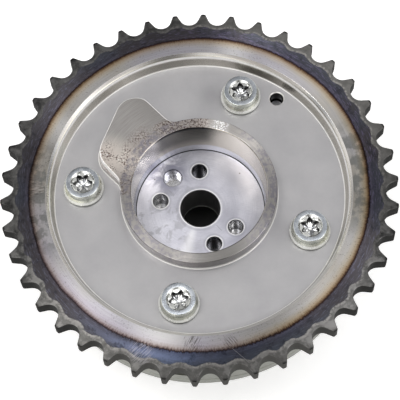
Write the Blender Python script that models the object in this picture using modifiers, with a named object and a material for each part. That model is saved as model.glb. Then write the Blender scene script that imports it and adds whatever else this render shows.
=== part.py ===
"""Cam phaser: a toothed plate, a housing and a front cover clamped round a vane rotor.

Metres, +Z up.  The part stands on its front cover, with the camshaft side up.
The origin is the bottom centre, on the camshaft axis.
"""
import math

import bmesh
import bpy
from mathutils import Matrix, Vector

MM = 0.001

# Clearance between pieces that seat on, slide in or turn in each other
GAP = 0.3 * MM

# Thicknesses along the axis, from the front cover up
COVER_T = 4.0 * MM
HOUSING_T = 12.2 * MM
DISC_T = 9.2 * MM
RIM_RISE = 4.5 * MM

# Chain teeth
TEETH = 42
CHAIN_PITCH = 8.0 * MM
ADDENDUM = 1.97 * MM
DEDENDUM = 1.73 * MM
GAP_ARC_R = 2.8 * MM
FLANK_DEG = 62.0
TIP_LAND = 0.55 * MM
TIP_CORNER = 0.4 * MM
TOOTH_ANGLE_DEG = 7.74
TOOTH_RING_T = 5.4 * MM
TOOTH_SIDE_CHAMFER = 0.5 * MM

# Camshaft bore in the plate, and what lies round it from the axis outwards
BORE_R = 18.9 * MM
BORE_LIP = 0.5 * MM
BORE_LIP_RISE = 2.0 * MM
BOSS_WALL = 2.95 * MM
HUB_LAP = 1.4 * MM
VANE_HEIGHT = 18.5 * MM
HOUSING_WALL = 8.2 * MM
NECK_STEP = 0.6 * MM
RIM_CLEARANCE = 2.2 * MM
RECESS_SLOPE = 1.4 * MM
RECESS_FOOT = 0.8 * MM
RIM_CHAMFER = 0.85 * MM
EDGE = 0.4 * MM

# Housing notch and cover
NOTCH_DEG = 252.0
NOTCH_WIDTH = 16.0 * MM
NOTCH_DEPTH = 2.0 * MM
NOTCH_SILL = 7.4 * MM
COVER_BORE_STEP = 0.5 * MM
COVER_EDGE = 0.8 * MM

# Rotor and its vanes at rest, against the stop
LOCK_VANE_DEG = 126.0
LOCK_VANE_WIDTH_DEG = 34.0
VANE_WIDTH_DEG = 14.0
VANE_COUNT = 4
TRAVEL_DEG = 22.0
FREE_VANE_DEG = 0.9
ROOT_FILLET = 0.8 * MM
CORNER_FILLET = 1.2 * MM

# Holes in the rotor
BOLT_HOLE_R = 5.5 * MM
BOLT_HOLE_CHAMFER = 0.5 * MM
BOLT_RECESS_R = 12.5 * MM
BOLT_RECESS_DEPTH = 1.0 * MM
PORT_WALL = 4.0 * MM
PORT_R = 2.1 * MM
DOWEL_HOLE_R = 2.6 * MM
DOWEL_STEP_OUT = 0.8 * MM
DOWEL_HOLE_DEPTH = 3.2 * MM
DRILLING_R = 1.0 * MM
ADVANCE_LEVEL = 3.5 * MM
RETARD_LEVEL = 8.0 * MM
LOCK_SIDE_PORT_DEG = 38.3
FAR_SIDE_PORT_DEG = 20.0

# Tip seals and the leaf springs behind them
SEAL_WIDTH = 2.4 * MM
SEAL_HEIGHT = 3.2 * MM
LEAF_T = 0.3 * MM
LEAF_BOW = 0.6 * MM
SEAL_LIFT = 0.3 * MM
SEAL_CROWN = 0.25 * MM

# Cover screws
SCREW_DEGS = (64.9, 171.7, 256.4, 336.0)
SCREW_TURN_DEGS = (30.0, 0.0, 10.0, 30.0)
SCREW_INSET = 6.2 * MM
SCREW_R = 2.95 * MM
SCREW_TIP_INSET = 0.6 * MM
FLANGE_R = 5.7 * MM
FLANGE_T = 0.6 * MM
FLANGE_RISE = 1.2 * MM
HEAD_R = 4.75 * MM
HEAD_HEIGHT = 4.2 * MM
CUP_R = 3.35 * MM
CUP_DEPTH = 0.6 * MM
LOBE_R = 2.8 * MM
LOBE_WAVE = 0.42 * MM
SOCKET_DEPTH = 2.6 * MM

# Lock pin, in the wide vane
LOCK_TIP_WALL = 1.2 * MM
LOCK_BORE_R = 5.6 * MM
NOSE_R = 3.5 * MM
LOCK_ENGAGEMENT = 3.7 * MM
LOCK_RELEASE_TRAVEL = 1.5 * MM
GUIDE_T = 2.6 * MM
PIN_HOLLOW_R = 2.6 * MM
PIN_CROWN = 1.5 * MM
SPRING_SEAT_T = 1.0 * MM
SPRING_WIRE_R = 0.3 * MM
SPRING_TURNS = 6
SEAT_BUSH_T = 5.0 * MM
SEAT_HOLE_DEPTH = 7.6 * MM

# Raised pad over the lock pin: corners from the pin's axis (x, y, fillet), and its ends on the boss
PAD_CORNERS = ((9.3 * MM, -1.0 * MM, 3.8 * MM), (1.8 * MM, 7.85 * MM, 4.6 * MM),
               (-4.15 * MM, 7.85 * MM, 5.6 * MM), (-12.2 * MM, -9.0 * MM, 6.2 * MM),
               (-5.6 * MM, -17.8 * MM, 5.0 * MM))
PAD_END_DEGS = (99.5, 176.5)

# Locating pin between plate and housing
LOCATING_DEG = 49.6
LOCATING_RIM_CLEARANCE = 1.4 * MM
LOCATING_HOLE_R = 1.95 * MM
LOCATING_PIN_INSET = 4.5 * MM
LOCATING_HOLE_DEPTH = 8.0 * MM

# Sides of the round bodies, and angles between points along arcs and fillets
ARC_STEP_DEG = 6.0
FILLET_STEP_DEG = 30.0
PAD_STEP_DEG = 12.0
BODY_STEPS = 60
SCREW_STEPS = 20
PIN_STEPS = 20
HOLE_STEPS = 16
LOCK_BORE_STEPS = 24
CENTRE_STEPS = 32
DRILLING_STEPS = 10
TOOTH_GAP_STEPS = 8
LOBE_STEPS = 36
SEAL_TIP_STEPS = 4
COIL_STEPS = 12

# Levels and radii that follow from the values above
HOUSING_BASE = COVER_T + GAP
HOUSING_TOP = HOUSING_BASE + HOUSING_T
PLATE_BASE = HOUSING_TOP + GAP
DISC_TOP = PLATE_BASE + DISC_T
FACE_Z = DISC_TOP + RIM_RISE
TOOTH_BACK_Z = FACE_Z - TOOTH_RING_T
PITCH_R = CHAIN_PITCH / (2 * math.sin(math.pi / TEETH))
TIP_R = PITCH_R + ADDENDUM
ROOT_R = PITCH_R - DEDENDUM
BOSS_R = BORE_R + BOSS_WALL
HUB_R = BORE_R + HUB_LAP
CHAMBER_R = HUB_R + VANE_HEIGHT
BODY_R = CHAMBER_R + HOUSING_WALL
PLATE_NECK_R = BODY_R - NECK_STEP
SCREW_CIRCLE_R = CHAMBER_R - SCREW_INSET
RECESS_R = SCREW_CIRCLE_R + FLANGE_R + RIM_CLEARANCE
RIM_INNER_R = RECESS_R + RECESS_SLOPE + RIM_CHAMFER
COVER_BORE_R = BOLT_RECESS_R + COVER_BORE_STEP
PORT_CIRCLE_R = BOLT_HOLE_R + PORT_WALL + PORT_R
DOWEL_CIRCLE_R = PORT_CIRCLE_R + DOWEL_STEP_OUT
VANE_TIP_R = CHAMBER_R - GAP - SEAL_LIFT
SHOE_TIP_R = HUB_R + GAP + SEAL_LIFT
SLOT_HALF = SEAL_WIDTH / 2 + GAP
SPRING_ROOM = LEAF_T + LEAF_BOW + 2 * GAP
SLOT_DEPTH = SEAL_HEIGHT - SEAL_LIFT + SPRING_ROOM
LOCK_CIRCLE_R = VANE_TIP_R - SLOT_DEPTH - LOCK_TIP_WALL - LOCK_BORE_R
SCREW_HOLE_R = SCREW_R + GAP
GUIDE_BORE_R = NOSE_R + GAP
LOCK_FIT_R = LOCK_BORE_R - GAP
THROUGH = 2.0 * MM


def rad(degrees):
    return math.radians(degrees)


def at(radius, degrees):
    """A point of the plan, from its radius and its angle."""
    return (radius * math.cos(rad(degrees)), radius * math.sin(rad(degrees)))


LOCK_XY = at(LOCK_CIRCLE_R, LOCK_VANE_DEG)
LOCATING_XY = at(RECESS_R - LOCATING_HOLE_R - LOCATING_RIM_CLEARANCE, LOCATING_DEG)
VANE_DEGS = [LOCK_VANE_DEG + k * 360.0 / VANE_COUNT for k in range(VANE_COUNT)]
VANE_WIDTHS = [LOCK_VANE_WIDTH_DEG] + [VANE_WIDTH_DEG] * (VANE_COUNT - 1)
STOP_CLEARANCE_DEG = math.degrees(GAP / HUB_R)


def chamber_span(k):
    """First and last angle of the chamber in which vane k swings."""
    clearance = STOP_CLEARANCE_DEG + (FREE_VANE_DEG if k else 0.0)
    half = VANE_WIDTHS[k] / 2 + clearance
    return (VANE_DEGS[k] - half - TRAVEL_DEG, VANE_DEGS[k] + half)


def shoe_deg(k):
    """Middle of the shoe between the chambers of vanes k - 1 and k."""
    before = chamber_span(k - 1)[1] - (360.0 if k == 0 else 0.0)
    return (before + chamber_span(k)[0]) / 2


# Outlines in plan

def arc(radius, first, last, step=ARC_STEP_DEG):
    """Points along a circle about the axis, both ends included."""
    count = max(1, math.ceil(abs(last - first) / step))
    return [at(radius, first + (last - first) * i / count) for i in range(count + 1)]


def rounded(corners, step=FILLET_STEP_DEG):
    """A closed outline from corners (x, y, fillet radius)."""
    points = []
    for i, (x, y, radius) in enumerate(corners):
        here = Vector((x, y))
        back = Vector(corners[i - 1][:2]) - here
        ahead = Vector(corners[(i + 1) % len(corners)][:2]) - here
        if radius <= 0:
            points.append((x, y))
            continue
        half = back.angle(ahead) / 2
        reach = radius / math.tan(half)
        centre = here + (back.normalized() + ahead.normalized()).normalized() * radius / math.sin(half)
        start = here + back.normalized() * reach - centre
        end = here + ahead.normalized() * reach - centre
        sweep = math.atan2(start.x * end.y - start.y * end.x, start.dot(end))
        count = max(1, math.ceil(math.degrees(abs(sweep)) / step))
        for j in range(count + 1):
            spoke = start.copy()
            spoke.rotate(Matrix.Rotation(sweep * j / count, 2))
            points.append(tuple(centre + spoke))
    return points


def sharp(points):
    return [(x, y, 0.0) for x, y in points]


def slot_corners(centre_deg, mouth_r, floor_r):
    """Corners of a radial seal slot, in order of rising angle."""
    out = Vector(at(1.0, centre_deg))
    side = Vector((-out.y, out.x)) * SLOT_HALF
    mouth = math.sqrt(mouth_r ** 2 - SLOT_HALF ** 2)
    return sharp([tuple(out * mouth - side), tuple(out * floor_r - side),
                  tuple(out * floor_r + side), tuple(out * mouth + side)])


def slot_half_deg(mouth_r):
    return math.degrees(math.asin(SLOT_HALF / mouth_r))


def cavity_outline():
    """The housing's inner wall: four chambers between four shoes."""
    corners = []
    for k in range(VANE_COUNT):
        first, last = chamber_span(k)
        before = chamber_span(k - 1)[1] - (360.0 if k == 0 else 0.0)
        middle = shoe_deg(k)
        half_slot = slot_half_deg(SHOE_TIP_R)
        corners += sharp(arc(SHOE_TIP_R, before, middle - half_slot)[1:-1])
        corners += slot_corners(middle, SHOE_TIP_R, SHOE_TIP_R + SLOT_DEPTH)
        corners += sharp(arc(SHOE_TIP_R, middle + half_slot, first)[1:-1])
        corners.append((*at(SHOE_TIP_R, first), CORNER_FILLET))
        corners.append((*at(CHAMBER_R, first), ROOT_FILLET))
        corners += sharp(arc(CHAMBER_R, first, last)[1:-1])
        corners.append((*at(CHAMBER_R, last), ROOT_FILLET))
        corners.append((*at(SHOE_TIP_R, last), CORNER_FILLET))
    return rounded(corners)


def rotor_outline():
    """Hub and vanes, with a seal slot in each vane's tip."""
    corners = []
    for k in range(VANE_COUNT):
        middle = VANE_DEGS[k]
        first = middle - VANE_WIDTHS[k] / 2
        last = middle + VANE_WIDTHS[k] / 2
        following = VANE_DEGS[k] + 360.0 / VANE_COUNT - VANE_WIDTHS[(k + 1) % VANE_COUNT] / 2
        half_slot = slot_half_deg(VANE_TIP_R)
        corners.append((*at(HUB_R, first), ROOT_FILLET))
        corners.append((*at(VANE_TIP_R, first), CORNER_FILLET))
        corners += sharp(arc(VANE_TIP_R, first, middle - half_slot)[1:-1])
        corners += slot_corners(middle, VANE_TIP_R, VANE_TIP_R - SLOT_DEPTH)
        corners += sharp(arc(VANE_TIP_R, middle + half_slot, last)[1:-1])
        corners.append((*at(VANE_TIP_R, last), CORNER_FILLET))
        corners.append((*at(HUB_R, last), ROOT_FILLET))
        corners += sharp(arc(HUB_R, last, following)[1:-1])
    return rounded(corners)


def gap_outline():
    """One gap between two teeth, about the +X direction: a round root and two straight flanks."""
    flank = rad(FLANK_DEG)
    centre_r = ROOT_R + GAP_ARC_R
    count = TOOTH_GAP_STEPS
    angles = [-flank + 2 * flank * i / count for i in range(count + 1)]
    root = [(centre_r - GAP_ARC_R * math.cos(a), GAP_ARC_R * math.sin(a)) for a in angles]
    half_pitch = TIP_R * math.sin(math.pi / TEETH)
    corner_r = TIP_R - TIP_CORNER
    flank_end = root[-1][1] + (corner_r - root[-1][0]) / math.tan(flank)
    land_edge = max(half_pitch - TIP_LAND / 2, flank_end)
    outer_r = TIP_R + GAP
    upper = [(corner_r, flank_end), (TIP_R, land_edge), (outer_r, land_edge)]
    lower = [(x, -y) for x, y in reversed(upper)]
    return lower + root + upper


def pad_outline():
    """The raised pad over the lock pin, running into the boss round the bore."""
    corners = [(LOCK_XY[0] + dx, LOCK_XY[1] + dy, fillet) for dx, dy, fillet in PAD_CORNERS]
    first, last = PAD_END_DEGS
    inner_r = BORE_R + BOSS_WALL / 2
    end_r = BOSS_R - EDGE / 2
    ends = [at(end_r, last), *arc(inner_r, last, first), at(end_r, first)]
    return rounded(corners + sharp(ends), PAD_STEP_DEG)


def lobed_outline():
    """The six-lobed socket of a cover screw, about its own centre."""
    points = []
    mean = LOBE_R - LOBE_WAVE
    for i in range(LOBE_STEPS):
        angle = 2 * math.pi * i / LOBE_STEPS
        radius = mean + LOBE_WAVE * math.cos(6 * angle)
        points.append((radius * math.cos(angle), radius * math.sin(angle)))
    return points


# Solids

def start():
    """An empty scene with a collection for the parts and one for the cutters."""
    for item in list(bpy.data.objects):
        bpy.data.objects.remove(item, do_unlink=True)
    made = []
    for name in ("cam_phaser", "cutters"):
        collection = bpy.data.collections.new(name)
        bpy.context.scene.collection.children.link(collection)
        made.append(collection)
    return made


PARTS, CUTTERS = start()


def place(name, mesh, collection):
    item = bpy.data.objects.new(name, mesh)
    collection.objects.link(item)
    if collection is CUTTERS:
        item.hide_render = True
        item.display_type = "WIRE"
    return item


def turned(name, profile, steps, collection=None, closed=True):
    """A ring or, with both ends on the axis, a solid, from points (radius, height)."""
    mesh = bpy.data.meshes.new(name)
    edges = [(i, i + 1) for i in range(len(profile) - 1)]
    if closed:
        edges.append((len(profile) - 1, 0))
    mesh.from_pydata([(r, 0.0, z) for r, z in profile], edges, [])
    item = place(name, mesh, collection or PARTS)
    screw = item.modifiers.new("turn", "SCREW")
    screw.axis = "Z"
    screw.angle = 2 * math.pi
    screw.steps = steps
    screw.render_steps = steps
    screw.use_merge_vertices = True
    screw.merge_threshold = 0.000001
    return item


def prism(name, outlines, low, high, collection=None, edge=0.0):
    """A flat outline, with any holes, between two heights."""
    curve = bpy.data.curves.new(name, "CURVE")
    curve.dimensions = "2D"
    curve.fill_mode = "BOTH"
    curve.extrude = (high - low) / 2 - edge
    curve.bevel_depth = edge
    curve.bevel_resolution = 0
    curve.offset = -edge
    for outline in outlines:
        spline = curve.splines.new("POLY")
        spline.points.add(len(outline) - 1)
        spline.use_cyclic_u = True
        for point, (x, y) in zip(spline.points, outline):
            point.co = (x, y, 0.0, 1.0)
    source = place(name + "_outline", curve, CUTTERS)
    source.location.z = (low + high) / 2
    bpy.context.view_layer.update()
    depsgraph = bpy.context.evaluated_depsgraph_get()
    mesh = bpy.data.meshes.new_from_object(source.evaluated_get(depsgraph))
    shape = bmesh.new()
    shape.from_mesh(mesh)
    bmesh.ops.remove_doubles(shape, verts=shape.verts, dist=0.000001)
    bmesh.ops.recalc_face_normals(shape, faces=shape.faces)
    shape.to_mesh(mesh)
    shape.free()
    item = place(name, mesh, collection or PARTS)
    item.matrix_world = source.matrix_world
    bpy.data.objects.remove(source, do_unlink=True)
    bpy.data.curves.remove(curve)
    return item


def rod(name, start_point, end_point, radius, sides=12, collection=None):
    """A cylinder between two points."""
    first = Vector(start_point)
    run = Vector(end_point) - first
    mesh = bpy.data.meshes.new(name)
    shape = bmesh.new()
    bmesh.ops.create_cone(shape, cap_ends=True, segments=sides, radius1=radius, radius2=radius,
                          depth=run.length)
    turn = run.to_track_quat("Z", "Y").to_matrix().to_4x4()
    bmesh.ops.transform(shape, matrix=Matrix.Translation(first + run / 2) @ turn, verts=shape.verts)
    shape.to_mesh(mesh)
    shape.free()
    return place(name, mesh, collection or CUTTERS)


def box(name, size, matrix):
    mesh = bpy.data.meshes.new(name)
    shape = bmesh.new()
    bmesh.ops.create_cube(shape, size=1.0)
    bmesh.ops.scale(shape, vec=size, verts=shape.verts)
    bmesh.ops.transform(shape, matrix=matrix, verts=shape.verts)
    shape.to_mesh(mesh)
    shape.free()
    return place(name, mesh, CUTTERS)


def combine(item, tool, operation="DIFFERENCE"):
    change = item.modifiers.new(operation.lower() + "_" + tool.name, "BOOLEAN")
    change.operation = operation
    change.solver = "EXACT"
    change.object = tool


def smooth(item, angle=35.0):
    """Shade the round surfaces smooth, on the object's own mesh."""
    item.data.shade_smooth()
    item.data.set_sharp_from_angle(angle=rad(angle))
    for change in item.modifiers:
        if change.type == "SCREW":
            change.use_smooth_shade = True


def finish(item, colour, metallic, roughness):
    """Give the piece its own material."""
    material = bpy.data.materials.new(item.name)
    material.use_nodes = True
    shader = material.node_tree.nodes["Principled BSDF"]
    shader.inputs["Base Color"].default_value = (*colour, 1.0)
    shader.inputs["Metallic"].default_value = metallic
    shader.inputs["Roughness"].default_value = roughness
    material.diffuse_color = (*colour, 1.0)
    item.data.materials.clear()
    item.data.materials.append(material)
    if item.type == "MESH":
        smooth(item)
    return item


# Toothed plate

def tooth_gaps():
    """All gaps between the teeth, as one cutter made of equal prisms."""
    first = prism("tooth_gaps", [gap_outline()], TOOTH_BACK_Z - THROUGH, FACE_Z + THROUGH, CUTTERS)
    shape = bmesh.new()
    shape.from_mesh(first.data)
    bmesh.ops.transform(shape, matrix=first.matrix_world, verts=shape.verts)
    original = shape.verts[:] + shape.edges[:] + shape.faces[:]
    half_step = math.pi / TEETH
    start_angle = rad(TOOTH_ANGLE_DEG) + half_step
    for k in range(1, TEETH):
        copy = bmesh.ops.duplicate(shape, geom=original)["geom"]
        verts = [part for part in copy if isinstance(part, bmesh.types.BMVert)]
        bmesh.ops.rotate(shape, verts=verts, matrix=Matrix.Rotation(2 * half_step * k, 3, "Z"))
    bmesh.ops.rotate(shape, verts=shape.verts, matrix=Matrix.Rotation(start_angle, 3, "Z"))
    shape.to_mesh(first.data)
    shape.free()
    first.matrix_world = Matrix.Identity(4)
    return first


def make_sprocket_plate():
    shoulder_r = ROOT_R - 2 * TOOTH_SIDE_CHAMFER
    profile = [(BORE_R, FACE_Z - EDGE), (BORE_R + EDGE, FACE_Z), (BOSS_R - EDGE / 2, FACE_Z),
               (BOSS_R, FACE_Z - EDGE / 2), (BOSS_R + EDGE, DISC_TOP),
               (RECESS_R, DISC_TOP), (RECESS_R + RECESS_FOOT, DISC_TOP + RECESS_FOOT),
               (RECESS_R + RECESS_SLOPE, FACE_Z - RIM_CHAMFER), (RIM_INNER_R, FACE_Z),
               (shoulder_r, FACE_Z), (TIP_R, FACE_Z - TOOTH_SIDE_CHAMFER),
               (TIP_R, TOOTH_BACK_Z + TOOTH_SIDE_CHAMFER), (shoulder_r, TOOTH_BACK_Z),
               (PLATE_NECK_R, TOOTH_BACK_Z), (PLATE_NECK_R, PLATE_BASE + EDGE),
               (PLATE_NECK_R - EDGE, PLATE_BASE), (BORE_R - BORE_LIP, PLATE_BASE),
               (BORE_R, PLATE_BASE + BORE_LIP_RISE)]
    plate = turned("sprocket_plate", profile, 2 * TEETH)
    pad = prism("lock_pad", [pad_outline()], DISC_TOP - THROUGH, FACE_Z, CUTTERS, EDGE / 2)
    combine(plate, pad, "UNION")
    combine(plate, tooth_gaps())
    for k, degrees in enumerate(SCREW_DEGS):
        combine(plate, drill(f"plate_screw_hole_{k + 1}", at(SCREW_CIRCLE_R, degrees), SCREW_HOLE_R,
                             PLATE_BASE - THROUGH, DISC_TOP + THROUGH))
    combine(plate, drill("plate_locating_hole", LOCATING_XY, LOCATING_HOLE_R,
                         PLATE_BASE - THROUGH, DISC_TOP + THROUGH))
    combine(plate, drill("lock_seat_hole", LOCK_XY, LOCK_BORE_R,
                         PLATE_BASE - THROUGH, PLATE_BASE + SEAT_HOLE_DEPTH, LOCK_BORE_STEPS))
    return finish(plate, (0.50, 0.49, 0.49), 1.0, 0.42)


def drill(name, centre, radius, low, high, sides=HOLE_STEPS):
    return rod(name, (*centre, low), (*centre, high), radius, sides)


# Housing and cover

def make_housing():
    inner_r = BOLT_RECESS_R
    profile = [(inner_r, HOUSING_TOP), (BODY_R - EDGE, HOUSING_TOP), (BODY_R, HOUSING_TOP - EDGE),
               (BODY_R, HOUSING_BASE + EDGE), (BODY_R - EDGE, HOUSING_BASE), (inner_r, HOUSING_BASE)]
    housing = turned("housing", profile, BODY_STEPS)
    low = HOUSING_BASE - THROUGH
    high = HOUSING_TOP + THROUGH
    combine(housing, prism("cavity", [cavity_outline()], low, high, CUTTERS))
    for k, degrees in enumerate(SCREW_DEGS):
        combine(housing, drill(f"housing_screw_hole_{k + 1}", at(SCREW_CIRCLE_R, degrees),
                               SCREW_HOLE_R, low, high))
    combine(housing, drill("housing_locating_hole", LOCATING_XY, LOCATING_HOLE_R,
                           HOUSING_TOP - LOCATING_HOLE_DEPTH, high))
    notch_height = HOUSING_TOP - NOTCH_SILL + THROUGH
    turn = Matrix.Rotation(rad(NOTCH_DEG), 4, "Z")
    shift = Matrix.Translation((BODY_R, 0.0, NOTCH_SILL + notch_height / 2))
    combine(housing, box("side_notch", (2 * NOTCH_DEPTH, NOTCH_WIDTH, notch_height), turn @ shift))
    return finish(housing, (0.55, 0.56, 0.53), 1.0, 0.45)


def make_front_cover():
    profile = [(COVER_BORE_R, COVER_T), (BODY_R - EDGE, COVER_T), (BODY_R, COVER_T - EDGE),
               (BODY_R, COVER_EDGE), (BODY_R - COVER_EDGE, 0.0), (COVER_BORE_R + EDGE, 0.0),
               (COVER_BORE_R, EDGE)]
    cover = turned("front_cover", profile, BODY_STEPS)
    for k, degrees in enumerate(SCREW_DEGS):
        combine(cover, drill(f"cover_screw_hole_{k + 1}", at(SCREW_CIRCLE_R, degrees), SCREW_HOLE_R,
                             -THROUGH, COVER_T + THROUGH))
    return finish(cover, (0.52, 0.53, 0.51), 1.0, 0.45)


def make_locating_pin():
    low = HOUSING_TOP - LOCATING_HOLE_DEPTH + GAP
    high = DISC_TOP - LOCATING_PIN_INSET
    pin = drill("locating_pin", LOCATING_XY, LOCATING_HOLE_R - GAP, low, high)
    CUTTERS.objects.unlink(pin)
    PARTS.objects.link(pin)
    pin.hide_render = False
    pin.display_type = "TEXTURED"
    return finish(pin, (0.60, 0.60, 0.60), 1.0, 0.25)


# Rotor

def make_rotor():
    rotor = prism("vane_rotor", [rotor_outline()], HOUSING_BASE, HOUSING_TOP)
    low = HOUSING_BASE - THROUGH
    high = HOUSING_TOP + THROUGH
    seat_z = HOUSING_BASE + BOLT_RECESS_DEPTH
    chamfer_r = BOLT_HOLE_R + BOLT_HOLE_CHAMFER
    centre = [(0.0, high), (chamfer_r, high), (chamfer_r, HOUSING_TOP),
              (BOLT_HOLE_R, HOUSING_TOP - BOLT_HOLE_CHAMFER), (BOLT_HOLE_R, seat_z),
              (BOLT_RECESS_R, seat_z), (BOLT_RECESS_R, low), (0.0, low)]
    combine(rotor, turned("centre_hole", centre, CENTRE_STEPS, CUTTERS, closed=False))
    combine(rotor, drill("dowel_hole", at(DOWEL_CIRCLE_R, LOCK_VANE_DEG), DOWEL_HOLE_R,
                         HOUSING_TOP - DOWEL_HOLE_DEPTH, high))
    combine(rotor, drill("lock_bore", LOCK_XY, LOCK_BORE_R, low, high, LOCK_BORE_STEPS))
    opposite = LOCK_VANE_DEG + 180.0
    ports = (("advance_port_1", LOCK_VANE_DEG - LOCK_SIDE_PORT_DEG, ADVANCE_LEVEL, -1, (0, 3)),
             ("retard_port_1", LOCK_VANE_DEG + LOCK_SIDE_PORT_DEG, RETARD_LEVEL, 1, (0, 1)),
             ("advance_port_2", opposite - FAR_SIDE_PORT_DEG, ADVANCE_LEVEL, -1, (1, 2)),
             ("retard_port_2", opposite + FAR_SIDE_PORT_DEG, RETARD_LEVEL, 1, (2, 3)))
    for name, degrees, depth, side, vanes in ports:
        level = HOUSING_TOP - depth
        mouth = at(PORT_CIRCLE_R, degrees)
        combine(rotor, drill(name, mouth, PORT_R, level - 2 * DRILLING_R, high))
        for k in vanes:
            beside_root = (DRILLING_R + ROOT_FILLET / 2) / HUB_R
            exit_deg = VANE_DEGS[k] + side * (VANE_WIDTHS[k] / 2 + math.degrees(beside_root))
            exit_xy = at(HUB_R + 2 * DRILLING_R, exit_deg)
            combine(rotor, rod(f"{name}_to_vane_{k + 1}", (*mouth, level), (*exit_xy, level),
                               DRILLING_R, DRILLING_STEPS))
    return finish(rotor, (0.72, 0.72, 0.75), 1.0, 0.30)


# Seals and leaf springs

def seal_outline(tip_r, outward):
    """A seal's section about the +X direction, domed at the end that rubs."""
    half = SEAL_WIDTH / 2
    root_x = tip_r - outward * SEAL_HEIGHT
    dome = []
    for i in range(SEAL_TIP_STEPS + 1):
        y = -half + SEAL_WIDTH * i / SEAL_TIP_STEPS
        dome.append((tip_r - outward * SEAL_CROWN * (y / half) ** 2, y))
    return [(root_x, half), (root_x, -half)] + dome


def make_seal(name, degrees, tip_r, outward):
    outline = []
    for x, y in seal_outline(tip_r, outward):
        turned_point = Vector((x, y))
        turned_point.rotate(Matrix.Rotation(rad(degrees), 2))
        outline.append(tuple(turned_point))
    seal = prism(name, [outline], HOUSING_BASE, HOUSING_TOP)
    return finish(seal, (0.06, 0.06, 0.06), 0.0, 0.55)


def make_leaf(name, degrees, seal_foot_r, outward):
    """A bowed strip behind a seal: its middle faces the slot's floor, its ends face the seal."""
    mesh = bpy.data.meshes.new(name)
    shape = bmesh.new()
    bmesh.ops.create_grid(shape, x_segments=8, y_segments=1, size=0.5)
    length = HOUSING_T - 4 * GAP
    end_r = seal_foot_r - outward * (GAP + LEAF_T / 2)
    middle_z = HOUSING_BASE + HOUSING_T / 2
    for vert in shape.verts:
        bow = outward * LEAF_BOW * (1 - (2 * vert.co.x) ** 2)
        vert.co = Vector((end_r - bow, vert.co.y * SEAL_WIDTH, middle_z + vert.co.x * length))
    bmesh.ops.rotate(shape, verts=shape.verts, matrix=Matrix.Rotation(rad(degrees), 3, "Z"))
    shape.to_mesh(mesh)
    shape.free()
    leaf = place(name, mesh, PARTS)
    thick = leaf.modifiers.new("thickness", "SOLIDIFY")
    thick.thickness = LEAF_T
    thick.offset = 0.0
    return finish(leaf, (0.45, 0.47, 0.50), 1.0, 0.30)


def make_seals():
    for k in range(VANE_COUNT):
        vane_tip = VANE_TIP_R + SEAL_LIFT
        make_seal(f"vane_seal_{k + 1}", VANE_DEGS[k], vane_tip, 1)
        make_leaf(f"vane_seal_spring_{k + 1}", VANE_DEGS[k], vane_tip - SEAL_HEIGHT, 1)
        shoe_tip = SHOE_TIP_R - SEAL_LIFT
        make_seal(f"shoe_seal_{k + 1}", shoe_deg(k), shoe_tip, -1)
        make_leaf(f"shoe_seal_spring_{k + 1}", shoe_deg(k), shoe_tip + SEAL_HEIGHT, -1)


# Lock pin

def at_lock(item):
    item.location.x, item.location.y = LOCK_XY
    return item


def make_lock_parts():
    guide_top = HOUSING_TOP - GAP
    guide_base = guide_top - GUIDE_T
    guide = turned("lock_pin_guide", [(GUIDE_BORE_R, guide_top), (LOCK_FIT_R, guide_top),
                                      (LOCK_FIT_R, guide_base), (GUIDE_BORE_R, guide_base)], PIN_STEPS)
    finish(at_lock(guide), (0.40, 0.40, 0.42), 1.0, 0.35)

    seat_base = HOUSING_BASE + GAP
    seat_top = seat_base + SPRING_SEAT_T
    nose_z = HOUSING_TOP
    skirt_top = guide_base - GAP - LOCK_ENGAGEMENT
    skirt_base = seat_top + GAP + LOCK_RELEASE_TRAVEL
    pin = turned("lock_pin", [(0.0, nose_z), (NOSE_R - EDGE, nose_z), (NOSE_R, nose_z - EDGE),
                              (NOSE_R, skirt_top), (LOCK_FIT_R, skirt_top), (LOCK_FIT_R, skirt_base),
                              (PIN_HOLLOW_R, skirt_base), (PIN_HOLLOW_R, nose_z - PIN_CROWN),
                              (0.0, nose_z - PIN_CROWN)], PIN_STEPS, closed=False)
    finish(at_lock(pin), (0.55, 0.55, 0.57), 1.0, 0.25)

    seat = turned("lock_spring_seat", [(0.0, seat_top), (LOCK_FIT_R, seat_top),
                                       (LOCK_FIT_R, seat_base), (0.0, seat_base)], PIN_STEPS,
                  closed=False)
    finish(at_lock(seat), (0.42, 0.42, 0.44), 1.0, 0.40)

    low = seat_top + GAP + SPRING_WIRE_R
    high = nose_z - PIN_CROWN - GAP - SPRING_WIRE_R
    finish(at_lock(coil("lock_pin_spring", low, high)), (0.48, 0.49, 0.52), 1.0, 0.30)

    bush_top = PLATE_BASE + SEAT_BUSH_T
    bush = turned("lock_pin_seat", [(GUIDE_BORE_R, bush_top), (LOCK_FIT_R, bush_top),
                                    (LOCK_FIT_R, PLATE_BASE), (GUIDE_BORE_R + EDGE, PLATE_BASE),
                                    (GUIDE_BORE_R, PLATE_BASE + EDGE)], PIN_STEPS)
    finish(at_lock(bush), (0.40, 0.40, 0.42), 1.0, 0.35)


def coil(name, low, high):
    """A compression spring about its own axis, as a wire along a helix."""
    helix_r = PIN_HOLLOW_R - GAP - SPRING_WIRE_R
    count = SPRING_TURNS * COIL_STEPS
    curve = bpy.data.curves.new(name, "CURVE")
    curve.dimensions = "3D"
    curve.bevel_depth = SPRING_WIRE_R
    curve.bevel_resolution = 2
    curve.use_fill_caps = True
    spline = curve.splines.new("POLY")
    spline.points.add(count)
    for i, point in enumerate(spline.points):
        angle = 2 * math.pi * i / COIL_STEPS
        height = low + (high - low) * i / count
        point.co = (helix_r * math.cos(angle), helix_r * math.sin(angle), height, 1.0)
    return place(name, curve, PARTS)


# Cover screws

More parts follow.
